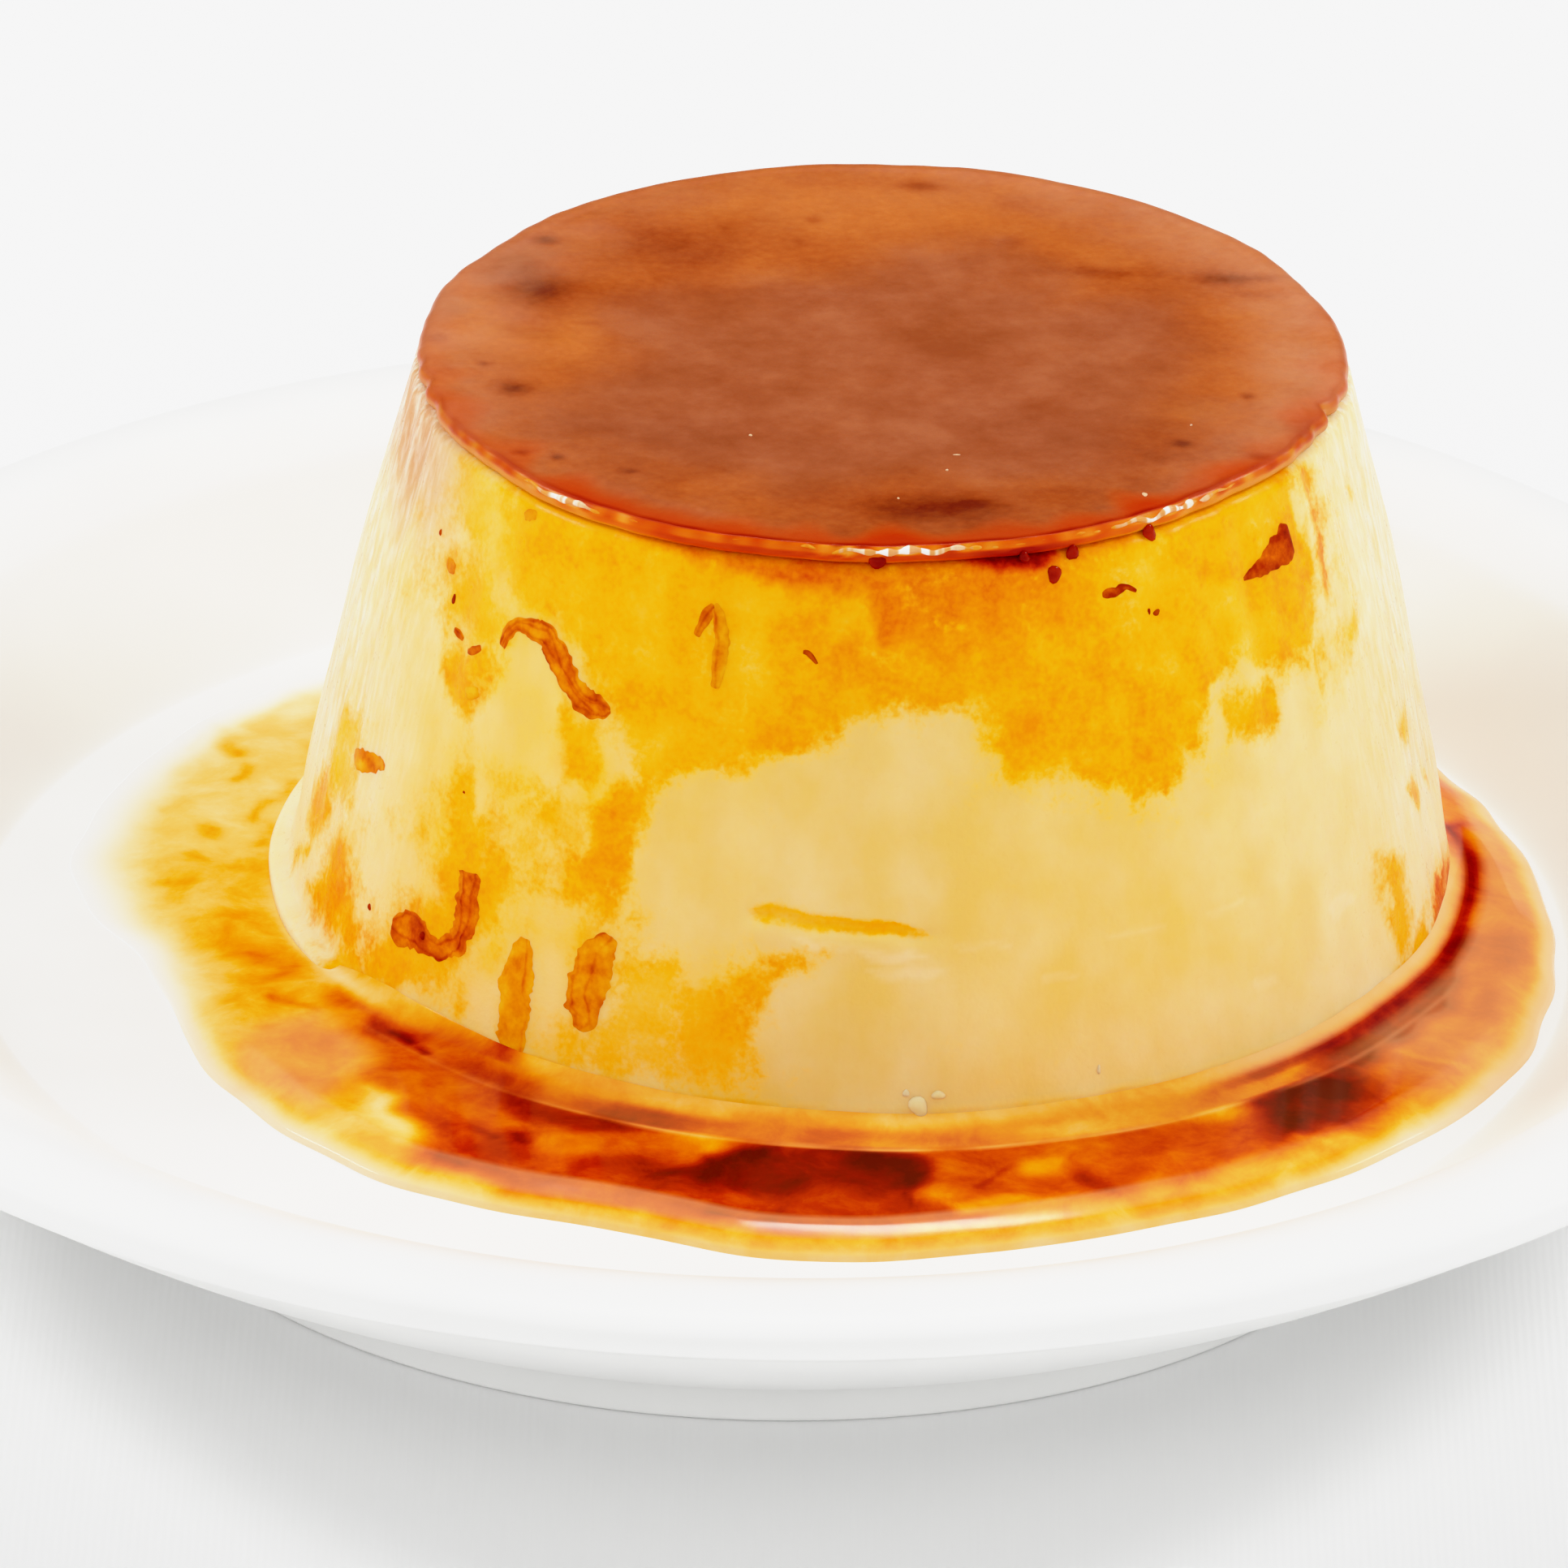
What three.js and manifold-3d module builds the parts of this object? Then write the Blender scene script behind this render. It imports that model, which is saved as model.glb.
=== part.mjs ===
// A caramel pudding turned out of its mould on to a white saucer: a flat-topped cone of set custard
// with a thin skin of caramel on top, standing in the pool of caramel sauce that ran down from it.
// Millimetres, +Z up. The origin is the centre of the saucer's foot, on the table, and -Y is the front.

import * as THREE from 'three';
import { mergeVertices } from 'three/addons/utils/BufferGeometryUtils.js';
import Module from 'manifold-3d';

const wasm = await Module();
wasm.setup();

// ---- Driving dimensions ----------------------------------------------------------------------

const SEAM = 0.2; // clearance between pieces that lie on each other

// Saucer: thick glazed porcelain with a broad rolled lip.
const SAUCER_RADIUS = 70.8;
const SAUCER_HEIGHT = 22.0;
const LIP_WIDTH = 9.8; // from the inner edge of the lip to the widest circle
const LIP_RISE = 2.0; // crown of the lip above its inner edge
const LIP_OUTER_DROP = 1.7; // from the crown down to the widest circle
const LIP_UNDERCUT = 0.9;
const WELL_RADIUS = 50.4;
const WELL_HEIGHT = 12.0;
const WELL_BEND = 1.2; // run of the bend between the well and the flange
const FLANGE_BELLY = 1.5; // how far the underside of the flange swells
const FOOT_RADIUS = 42.3;
const FOOT_HEIGHT = 2.4;
const FOOT_WIDTH = 3.6;
const FOOT_RECESS = 3.4; // height of the base inside the foot ring
const FOOT_EASE = 0.4; // rounding of the foot ring's edges

// Pudding: stands behind and to the right of the saucer's centre.
const PUDDING_X = 6.3;
const PUDDING_Y = 8.7;
const PUDDING_HEIGHT = 37.1;
const BASE_RADIUS = 37.3;
const TOP_RADIUS = 29.0;
const WALL_SWELL = 0.4; // how far the wall bellies out halfway up
const WALL_WAVE = 0.12; // depth of the shallow upright folds left by the mould
const TOP_CORNER_OUT = 0.8; // the top bulges at its left front
const TOP_CORNER_IN = 0.6; // and is drawn in at its right front
const BRIM_RADIUS = 38.1; // low brim round the base, from the mouth of the mould
const BRIM_HEIGHT = 1.2;
const BRIM_SHIFT = -0.3; // the brim stands out further on the left
const SKIN_THICKNESS = 1.0;
const SKIN_EDGE = 0.5; // rounding of the caramel skin's rim

// Flakes of dried caramel that stuck to the wall, and one shallow crack.
const FLAKE_PROUD = 0.35;
const FLAKE_DEPTH = 0.6; // how far a flake is rooted in the custard
const CRACK_WIDTH = 0.6;
const CRACK_DEPTH = 0.5;

// Sauce pool.
const POOL_DEPTH = 1.0;
const FILM_DEPTH = 0.4; // the thin smear on the left
const FILM_FROM = -62; // degrees from the front where the pool thins out to the left
const FILM_TO = -92;
const POOL_BEAD = 1.6; // width of the pool's rounded edge
const MENISCUS_RISE = 0.35;
const MENISCUS_WIDTH = 1.4;

// Mesh fineness.
const SAUCER_SEGMENTS = 72;
const PUDDING_SEGMENTS = 96;
const WALL_RINGS = 12;
const CURVE_STEPS = 5;

// ---- Helpers ---------------------------------------------------------------------------------

// A point by its angle in degrees from the front, positive to the right, its radius and its height.
function around(angle, radius, height) {
  const a = THREE.MathUtils.degToRad(angle);
  return new THREE.Vector3(radius * Math.sin(a), -radius * Math.cos(a), height);
}

// A smooth bump of height 1 and the given half width, in degrees, centred on an angle.
function bump(angle, centre, width) {
  const turns = (angle - centre) / 360;
  const away = (turns - Math.round(turns)) * 360;
  return Math.exp(-((away / width) ** 2));
}

function geometryFrom(positions, triangles) {
  const geometry = new THREE.BufferGeometry();
  geometry.setAttribute('position', new THREE.Float32BufferAttribute(positions, 3));
  geometry.setIndex(triangles);
  return geometry;
}

// A skin over rings of points. The rings go round anticlockwise seen from above. Ends are closed by
// fans, unless the last ring joins the first, as it does round a ring-shaped pool.
function skinOver(rings, joined) {
  const size = rings[0].length;
  const triangles = [];
  const spans = joined ? rings.length : rings.length - 1;
  for (let k = 0; k < spans; k += 1) {
    const low = k * size;
    const high = ((k + 1) % rings.length) * size;
    for (let i = 0; i < size; i += 1) {
      const j = (i + 1) % size;
      triangles.push(low + i, low + j, high + j);
      triangles.push(low + i, high + j, high + i);
    }
  }
  const points = rings.flat();
  if (!joined) {
    const last = (rings.length - 1) * size;
    const bottom = points.push(middleOf(rings[0])) - 1;
    const top = points.push(middleOf(rings[rings.length - 1])) - 1;
    for (let i = 0; i < size; i += 1) {
      const j = (i + 1) % size;
      triangles.push(bottom, j, i);
      triangles.push(top, last + i, last + j);
    }
  }
  return geometryFrom(points.flatMap((p) => p.toArray()), triangles);
}

function middleOf(ring) {
  const sum = ring.reduce((total, p) => total.add(p), new THREE.Vector3());
  return sum.divideScalar(ring.length);
}

function toManifold(geometry) {
  const bare = geometry.clone();
  bare.deleteAttribute('normal');
  bare.deleteAttribute('uv');
  const merged = mergeVertices(bare, 1e-5);
  return new wasm.Manifold(new wasm.Mesh({
    numProp: 3,
    vertProperties: new Float32Array(merged.attributes.position.array),
    triVerts: new Uint32Array(merged.index.array),
  }));
}

function fromManifold(solid) {
  const mesh = solid.getMesh();
  return geometryFrom(mesh.vertProperties, Array.from(mesh.triVerts));
}

function named(name, geometry, material) {
  geometry.computeVertexNormals();
  const mesh = new THREE.Mesh(geometry, material);
  mesh.name = name;
  return mesh;
}

// ---- Saucer ----------------------------------------------------------------------------------

function saucerGeometry() {
  const lipInner = SAUCER_RADIUS - LIP_WIDTH;
  const lipInnerHeight = SAUCER_HEIGHT - LIP_RISE;
  const crown = SAUCER_RADIUS - 0.41 * LIP_WIDTH;
  const widest = SAUCER_HEIGHT - LIP_OUTER_DROP;
  const flangeEdge = new THREE.Vector2(SAUCER_RADIUS - 0.6, widest - LIP_UNDERCUT);
  const flangeRoot = new THREE.Vector2(FOOT_RADIUS + 0.8, FOOT_HEIGHT + 0.5);
  const belly = flangeEdge.clone().lerp(flangeRoot, 0.5).add(new THREE.Vector2(0.5, -0.86)
    .multiplyScalar(FLANGE_BELLY));
  const footInner = FOOT_RADIUS - FOOT_WIDTH;

  const section = new THREE.Path();
  section.moveTo(0, WELL_HEIGHT);
  section.lineTo(WELL_RADIUS, WELL_HEIGHT);
  section.quadraticCurveTo(WELL_RADIUS + WELL_BEND, WELL_HEIGHT, lipInner, lipInnerHeight);
  section.quadraticCurveTo(lipInner + 0.37 * LIP_WIDTH, SAUCER_HEIGHT, crown, SAUCER_HEIGHT);
  section.quadraticCurveTo(SAUCER_RADIUS, SAUCER_HEIGHT, SAUCER_RADIUS, widest);
  section.quadraticCurveTo(SAUCER_RADIUS, widest - LIP_UNDERCUT, flangeEdge.x, flangeEdge.y);
  section.quadraticCurveTo(belly.x, belly.y, flangeRoot.x, flangeRoot.y);
  section.lineTo(FOOT_RADIUS, FOOT_HEIGHT);
  section.lineTo(FOOT_RADIUS, FOOT_EASE);
  section.lineTo(FOOT_RADIUS - FOOT_EASE, 0);
  section.lineTo(footInner + FOOT_EASE, 0);
  section.lineTo(footInner, FOOT_EASE);
  section.lineTo(footInner - FOOT_EASE, FOOT_RECESS);
  section.lineTo(0, FOOT_RECESS);

  // The section runs outwards over the top, so it is turned round to face out when revolved.
  const outline = section.getPoints(CURVE_STEPS).reverse();
  const geometry = new THREE.LatheGeometry(outline, SAUCER_SEGMENTS);
  geometry.rotateX(Math.PI / 2);
  return geometry;
}

// ---- Custard ---------------------------------------------------------------------------------

// Radius of the pudding's wall at an angle and a height above the well.
function wallRadius(angle, height) {
  const up = height / PUDDING_HEIGHT;
  const corners = TOP_CORNER_OUT * bump(angle, -38, 26) - TOP_CORNER_IN * bump(angle, 46, 26);
  const a = THREE.MathUtils.degToRad(angle);
  const folds = Math.sin(11 * a + 2.5 * up) + Math.sin(17 * a - 4 * up);
  return THREE.MathUtils.lerp(BASE_RADIUS, TOP_RADIUS, up)
    + WALL_SWELL * Math.sin(Math.PI * up)
    + corners * up * up
    + WALL_WAVE * folds;
}

function wallRing(height, offset) {
  const ring = [];
  for (let i = 0; i < PUDDING_SEGMENTS; i += 1) {
    const angle = (i * 360) / PUDDING_SEGMENTS;
    ring.push(around(angle, wallRadius(angle, height) + offset, height));
  }
  return ring;
}

function brimRing(height, inset) {
  const ring = [];
  for (let i = 0; i < PUDDING_SEGMENTS; i += 1) {
    const point = around((i * 360) / PUDDING_SEGMENTS, BRIM_RADIUS - inset, height);
    point.x += BRIM_SHIFT;
    ring.push(point);
  }
  return ring;
}

// A patch that follows the wall, from a depth inside it to a height proud of it.
function wallPatch(outline, depth, proud) {
  const flat = outline.map(([angle, height]) => new THREE.Vector2(
    THREE.MathUtils.degToRad(angle) * wallRadius(angle, height), height));
  const inner = outline.map(([angle, height]) => around(
    angle, wallRadius(angle, height) - depth, height));
  const outer = outline.map(([angle, height]) => around(
    angle, wallRadius(angle, height) + proud, height));
  const faces = THREE.ShapeUtils.triangulateShape(flat, []);
  const turn = Math.sign(THREE.ShapeUtils.area(flat));
  const count = outline.length;
  const triangles = [];
  const add = (a, b, c) => triangles.push(...(turn > 0 ? [a, b, c] : [a, c, b]));
  for (const [a, b, c] of faces) {
    const facing = Math.sign(THREE.ShapeUtils.area([flat[a], flat[b], flat[c]]));
    const [p, q] = facing === turn ? [b, c] : [c, b];
    add(count + a, count + p, count + q);
    add(a, q, p);
  }
  for (let i = 0; i < count; i += 1) {
    const j = (i + 1) % count;
    add(i, j, count + j);
    add(i, count + j, count + i);
  }
  return toManifold(geometryFrom([...inner, ...outer].flatMap((p) => p.toArray()), triangles));
}

// The outline of a ribbon of even width along a path of [angle, height] points, tapering at its ends.
function ribbon(path, width) {
  const left = [];
  const right = [];
  path.forEach(([angle, height], i) => {
    const before = path[Math.max(i - 1, 0)];
    const after = path[Math.min(i + 1, path.length - 1)];
    const mmPerDegree = THREE.MathUtils.degToRad(1) * wallRadius(angle, height);
    const along = new THREE.Vector2((after[0] - before[0]) * mmPerDegree, after[1] - before[1])
      .normalize();
    const isEnd = i === 0 || i === path.length - 1;
    const half = width * (isEnd ? 0.3 : 0.5);
    const sideways = (along.y * half) / mmPerDegree;
    left.push([angle - sideways, height + along.x * half]);
    right.push([angle + sideways, height - along.x * half]);
  });
  return [...left, ...right.reverse()];
}

// Each flake's outline on the wall, as [degrees from the front, millimetres above the well].
const flakeOutlines = [
  ribbon([[-47.5, 25.6], [-46, 27.9], [-43, 28.6], [-39.5, 28.0], [-35.5, 26.0], [-31, 24.3]], 1.7),
  ribbon([[-46.5, 11.6], [-45.2, 9.4], [-45.8, 7.2], [-48.5, 5.7], [-52, 5.4], [-55, 6.4]], 2.0),
  ribbon([[-38, 8.5], [-37.2, 6.5], [-37.4, 4.5], [-36, 2.9]], 1.7),
  ribbon([[-21.4, 30.8], [-19.9, 32.3], [-18.6, 30.6], [-18.5, 27.7]], 0.8),
  [[-28.4, 11.2], [-31.2, 7.5], [-28.6, 5.2], [-26.6, 7.2], [-26.0, 10.2]],
  [[-70.8, 14.2], [-68.6, 13.2], [-65.8, 13.4], [-63.8, 15.2], [-67.6, 14.9]],
  [[57.2, 33.0], [51.6, 31.9], [48.4, 31.3], [53.5, 30.3], [58.0, 30.8]],
  [[30.6, 33.9], [27.6, 32.9], [29.0, 32.4], [31.6, 33.2]],
  ribbon([[64.0, 32.4], [64.8, 30.2], [64.0, 28.2]], 0.9),
];

const crackPath = [[-13.5, 14.1], [-9.5, 14.0], [-4.5, 13.8], [1.5, 13.6], [7.0, 13.0]];

function custardGeometry() {
  const top = PUDDING_HEIGHT - SKIN_THICKNESS - SEAM;
  const rings = [
    brimRing(0, 0.3),
    brimRing(0.3 * BRIM_HEIGHT, 0),
    brimRing(0.8 * BRIM_HEIGHT, 0.1),
    wallRing(1.3 * BRIM_HEIGHT, 0.1),
  ];
  const wallStart = 2 * BRIM_HEIGHT;
  for (let k = 0; k <= WALL_RINGS; k += 1) {
    rings.push(wallRing(THREE.MathUtils.lerp(wallStart, top, k / WALL_RINGS), 0));
  }
  let solid = toManifold(skinOver(rings, false));
  for (const outline of flakeOutlines) {
    solid = solid.add(wallPatch(outline, FLAKE_DEPTH, FLAKE_PROUD));
  }
  solid = solid.subtract(wallPatch(ribbon(crackPath, CRACK_WIDTH), CRACK_DEPTH, FLAKE_PROUD));
  return fromManifold(solid);
}

// ---- Caramel ---------------------------------------------------------------------------------

function skinGeometry() {
  const bottom = PUDDING_HEIGHT - SKIN_THICKNESS;
  const lift = (ring, height) => ring.map((p) => new THREE.Vector3(p.x, p.y, height));
  const rim = wallRing(bottom, 0);
  const shoulder = wallRing(PUDDING_HEIGHT - 0.4 * SKIN_EDGE, -0.3 * SKIN_EDGE);
  const crest = lift(wallRing(PUDDING_HEIGHT, -SKIN_EDGE), PUDDING_HEIGHT);
  return skinOver([rim, wallRing(PUDDING_HEIGHT - SKIN_EDGE, 0), shoulder, crest], false);
}

// The pool's outline round the pudding, as [degrees from the front, radius].
const poolOutline = [
  [-4, 53.6], [13, 51.2], [36, 49.4], [57, 47.8], [76, 44.7], [98, 42.0], [126, 39.9], [158, 39.8],
  [-172, 40.4], [-143, 41.6], [-119, 45.2], [-104, 48.8], [-86, 51.0], [-72, 48.0], [-52, 50.8],
  [-33, 52.5], [-19, 52.1],
];

function sauceGeometry() {
  const outer = new THREE.CatmullRomCurve3(
    poolOutline.map(([angle, radius]) => around(angle, radius, 0)), true, 'centripetal');
  const shore = outer.getPoints(PUDDING_SEGMENTS).slice(0, PUDDING_SEGMENTS);
  const stations = shore.map((p) => {
    const angle = THREE.MathUtils.radToDeg(Math.atan2(p.x, -p.y));
    const left = THREE.MathUtils.smoothstep(-angle, -FILM_FROM, -FILM_TO);
    return {
      depth: THREE.MathUtils.lerp(POOL_DEPTH, FILM_DEPTH, left),
      wall: around(angle, BRIM_RADIUS + SEAM - BRIM_SHIFT * bump(angle, -90, 60), 0),
      edge: p,
      width: p.length() - BRIM_RADIUS - SEAM,
    };
  });
  // One ring of the pool's surface: share 0 is at the pudding's wall and 1 at the pool's edge.
  const ring = (shareAt, heightAt) => stations.map((s) => {
    const share = shareAt(s);
    return s.wall.clone().lerp(s.edge, share).setZ(heightAt(s));
  });
  const bead = (s) => Math.max(1 - POOL_BEAD / s.width, 0.45);
  const meniscus = (s) => Math.min(MENISCUS_WIDTH / s.width, 0.3);
  return skinOver([
    ring(() => 0, () => 0),
    ring(() => 1, () => 0),
    ring((s) => (1 + bead(s)) / 2, (s) => 0.72 * s.depth),
    ring((s) => bead(s), (s) => s.depth),
    ring((s) => meniscus(s), (s) => s.depth),
    ring(() => 0, (s) => s.depth * (1 + MENISCUS_RISE)),
  ], true);
}

// ---- The whole -------------------------------------------------------------------------------

const porcelain = new THREE.MeshStandardMaterial({ color: '#f3f2ef', roughness: 0.12, metalness: 0 });
const setCustard = new THREE.MeshStandardMaterial({ color: '#efd07a', roughness: 0.3, metalness: 0 });
const caramelSkin = new THREE.MeshStandardMaterial({ color: '#b9622f', roughness: 0.3, metalness: 0 });
const caramelSyrup = new THREE.MeshStandardMaterial({ color: '#a8420e', roughness: 0.06, metalness: 0 });

const pudding = new THREE.Group();
pudding.position.set(PUDDING_X, PUDDING_Y, WELL_HEIGHT + SEAM);
pudding.add(named('custard', custardGeometry(), setCustard));
pudding.add(named('caramel_top', skinGeometry(), caramelSkin));
pudding.add(named('caramel_sauce', sauceGeometry(), caramelSyrup));

const dish = new THREE.Group();
dish.add(named('saucer', saucerGeometry(), porcelain));
dish.add(pudding);

export default dish;
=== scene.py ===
# %% [markdown]
# # A caramel pudding on its saucer
# A caramel pudding is egg custard set in a mould with burnt sugar syrup at its bottom. Turned out, it
# stands upside down: the syrup has soaked a brown skin on top, stained the wall below it and run into
# the saucer. This lesson dresses four plain solids (saucer, custard, caramel_sauce, caramel_top) with
# fine surfaces. Each visible thing is a closed mesh computed from a few real sizes, because soft food
# is easier to describe by formulas over an angle and a height than to model by hand.

import bmesh
import bpy
import numpy as np
from mathutils import Matrix, Vector


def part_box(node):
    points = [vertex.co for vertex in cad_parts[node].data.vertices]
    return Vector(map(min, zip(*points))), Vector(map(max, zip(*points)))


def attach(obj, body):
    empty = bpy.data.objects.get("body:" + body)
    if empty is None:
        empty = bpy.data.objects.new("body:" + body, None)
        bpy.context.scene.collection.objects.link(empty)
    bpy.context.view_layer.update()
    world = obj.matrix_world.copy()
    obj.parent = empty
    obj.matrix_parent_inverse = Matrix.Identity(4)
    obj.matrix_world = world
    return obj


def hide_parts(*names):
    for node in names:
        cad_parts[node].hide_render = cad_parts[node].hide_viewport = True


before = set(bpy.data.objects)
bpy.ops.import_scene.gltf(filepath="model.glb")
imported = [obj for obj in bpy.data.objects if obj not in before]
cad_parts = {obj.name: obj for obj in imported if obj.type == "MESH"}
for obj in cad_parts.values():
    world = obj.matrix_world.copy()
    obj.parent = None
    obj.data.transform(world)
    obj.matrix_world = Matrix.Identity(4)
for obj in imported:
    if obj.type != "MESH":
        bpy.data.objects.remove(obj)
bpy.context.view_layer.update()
print("nodes:", sorted(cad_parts))

# %% [markdown]
# ## Sizes and places
# All lengths here are millimetres, and points are turned to metres only when a mesh is made. The plate
# is centred on the origin. The pudding has been turned out a little off centre, so its own axis is read
# from the box of its caramel skin, and its foot from the lowest corner of the custard.

# %% Sizes and places
METRE = 0.001
skin_low, skin_high = (np.array(corner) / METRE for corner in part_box("caramel_top"))
custard_low, custard_high = (np.array(corner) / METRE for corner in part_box("custard"))
saucer_high = np.array(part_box("saucer")[1]) / METRE
AXIS = np.array([6.3, 8.7])
FOOT = custard_low[2]
HEIGHT = skin_high[2] - FOOT
BASE_RADIUS = 37.3
TOP_RADIUS = 29.0
BRIM_RADIUS = 38.1
print("pudding height", round(HEIGHT, 2), "mm, standing", round(FOOT, 2), "mm up")

# %% [markdown]
# ## The camera
# A long lens a metre away keeps the ellipse of the top nearly the same shape as the ellipse of the
# plate, as in a studio picture of a dessert. It looks down at 26 degrees and is rolled about a degree.
# The three axes of the camera are written as the columns of a matrix: right, up, and backwards.
# White on white is exposed bright, so the tone curve bends softly near white, as film does: the porcelain
# stays just below paper white, and only the glints reach it.

# %% The camera
LOOK_AT = np.array([0.62, 8.72, 18.57])
DISTANCE = 1000.0
ELEVATION = np.radians(26.194)
ROLL = np.radians(1.181)
FOCAL_LENGTH = 360.3

toward_camera = np.array([0.0, -np.cos(ELEVATION), np.sin(ELEVATION)])
level_right = np.array([1.0, 0.0, 0.0])
level_up = np.cross(toward_camera, level_right)
camera_right = np.cos(ROLL) * level_right + np.sin(ROLL) * level_up
camera_up = np.cos(ROLL) * level_up - np.sin(ROLL) * level_right

lens = bpy.data.cameras.new("long_lens")
lens.lens = FOCAL_LENGTH
lens.sensor_width = 36.0
lens.clip_start = 0.05
camera = bpy.data.objects.new("camera", lens)
bpy.context.scene.collection.objects.link(camera)
turn = Matrix([camera_right, camera_up, toward_camera]).transposed().to_4x4()
place = Vector((LOOK_AT + DISTANCE * toward_camera) * METRE)
camera.matrix_world = Matrix.Translation(place) @ turn
bpy.context.scene.camera = camera
view = bpy.context.scene.view_settings
view.view_transform = "Standard"
view.use_curve_mapping = True
TONE_RANGE = 2.0
tone_points = [
    (0.012, 0.002), (0.03, 0.014), (0.06, 0.046), (0.1, 0.09), (0.3, 0.3), (0.6, 0.6), (0.8, 0.76),
    (0.95, 0.85), (1.15, 0.905), (1.4, 0.94)]
view.curve_mapping.white_level = (TONE_RANGE,) * 3
shoulder = view.curve_mapping.curves[3]
for light_in, light_out in tone_points:
    shoulder.points.new(light_in / TONE_RANGE, light_out)
view.curve_mapping.update()
print("camera at", [round(value, 3) for value in place])

# %% [markdown]
# ## Small helpers for colour and nodes
# Colours are picked as the eye sees them, in sRGB hex, but Blender mixes light in linear values, so one
# function converts them. Another adds a shader node, sets it up and links what feeds it, which keeps
# the materials below short enough to read as recipes. A noise node gives nearly all its values between
# 0.3 and 0.7, so `NOISE` is the range that each map of noise starts from.

# %% Colour and node helpers
MIXED_COLOUR = 2
NOISE = {1: 0.3, 2: 0.7}


def colour(hex_code):
    """Linear RGBA of an sRGB colour such as "f0e0b0"."""
    parts = np.array([int(hex_code[i:i + 2], 16) for i in (0, 2, 4)]) / 255
    linear = np.where(parts <= 0.04045, parts / 12.92, ((parts + 0.055) / 1.055) ** 2.4)
    return (*linear, 1.0)


def node(tree, kind, feeds=None, stops=None, **settings):
    """Adds a node. feeds maps a socket to a value, to an output, or to a node for its first output."""
    made = tree.nodes.new("ShaderNode" + kind)
    for name, value in settings.items():
        setattr(made, name, value)
    for socket, source in (feeds or {}).items():
        if isinstance(source, bpy.types.Node):
            source = source.outputs[MIXED_COLOUR if getattr(source, "data_type", "") == "RGBA" else 0]
        if isinstance(source, bpy.types.NodeSocket):
            tree.links.new(source, made.inputs[socket])
        else:
            made.inputs[socket].default_value = source
    if stops:
        ramp = made.color_ramp
        while len(ramp.elements) < len(stops):
            ramp.elements.new(0.5)
        for element, (position, hex_code) in zip(ramp.elements, stops):
            element.position = position
            element.color = colour(hex_code)
    return made


def material(name):
    """An empty node material, its tree, and the output that says where on the object a point is."""
    made = bpy.data.materials.new(name)
    made.use_nodes = True
    tree = made.node_tree
    tree.nodes.clear()
    return made, tree, node(tree, "TexCoord").outputs["Object"]


# %% [markdown]
# ## Studio light
# Food on white is lit by big soft sources: one high behind the pudding, which draws the bright line on
# its rim, and one on each side, which draw the two curved streaks where the sauce climbs the wall. The
# room itself is a pale dome, but a dark gap is left low behind the pudding. Seen from the camera, the
# flat caramel top and the flat sauce mirror only that gap, so they keep their deep colour.

# %% Studio light
def softbox(name, azimuth, elevation, distance, width, height, power):
    """An oval area light that faces the pudding. Azimuth 0 is behind the camera, 90 is to the right."""
    light = bpy.data.lights.new(name, "AREA")
    light.shape = "ELLIPSE"
    light.size = width
    light.size_y = height
    light.energy = power
    lamp = bpy.data.objects.new(name, light)
    bpy.context.scene.collection.objects.link(lamp)
    a = np.radians(azimuth)
    e = np.radians(elevation)
    away = Vector((np.sin(a) * np.cos(e), -np.cos(a) * np.cos(e), np.sin(e)))
    middle = Vector((*AXIS, FOOT + HEIGHT / 2)) * METRE
    lamp.location = middle + away * distance
    lamp.rotation_euler = away.to_track_quat("Z", "Y").to_euler()


SOFTBOX_POWER = 2.2
softbox("softbox_behind", 175, 65, 0.9, 0.32, 0.07, SOFTBOX_POWER)
for side_name, azimuth in (("left", -98), ("right", 98)):
    softbox("softbox_" + side_name, azimuth, 40, 0.8, 0.26, 0.18, SOFTBOX_POWER)

GAP_LIGHT = 0.02
FRONT_LIGHT = 1.6
TOP_LIGHT = 0.8
BACKDROP_LIGHT = 1.2
world = bpy.data.worlds.new("studio_dome")
bpy.context.scene.world = world
world.use_nodes = True
sky = world.node_tree
sky.nodes.clear()
direction = node(sky, "TexCoord").outputs["Generated"]
parts = node(sky, "SeparateXYZ", {0: direction}).outputs
in_front = node(sky, "MapRange", {0: parts["Y"], 1: 0.45, 2: -0.15, 3: GAP_LIGHT, 4: FRONT_LIGHT},
                interpolation_type="SMOOTHSTEP")
overhead = node(sky, "MapRange", {0: parts["Z"], 1: 0.50, 2: 0.60}, interpolation_type="SMOOTHSTEP")
dome = node(sky, "Mix", {0: overhead, 2: in_front, 3: TOP_LIGHT})
seen = node(sky, "LightPath").outputs["Is Camera Ray"]
backdrop = node(sky, "Mix", {0: seen, 2: dome, 3: BACKDROP_LIGHT})
light_out = node(sky, "Background", {1: backdrop})
node(sky, "OutputWorld", {0: light_out})

# %% [markdown]
# ## The cloth underneath
# The saucer stands on a pale cotton cloth that looks brighter behind than in front. The floor is only a
# stage, so it is one large square with a finish: a grey to white blend along the depth, which is painted
# light, brightest just in front of the saucer where it lifts the saucer's shadow, and a faint weave of
# fine threads as bump. The threads are drawn at 0.5 mm, coarser than real cotton, to show.

# %% The cloth underneath
STAGE_HALF = 3.0
THREAD = 0.5
WAVES_PER_UNIT = 3.3

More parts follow.
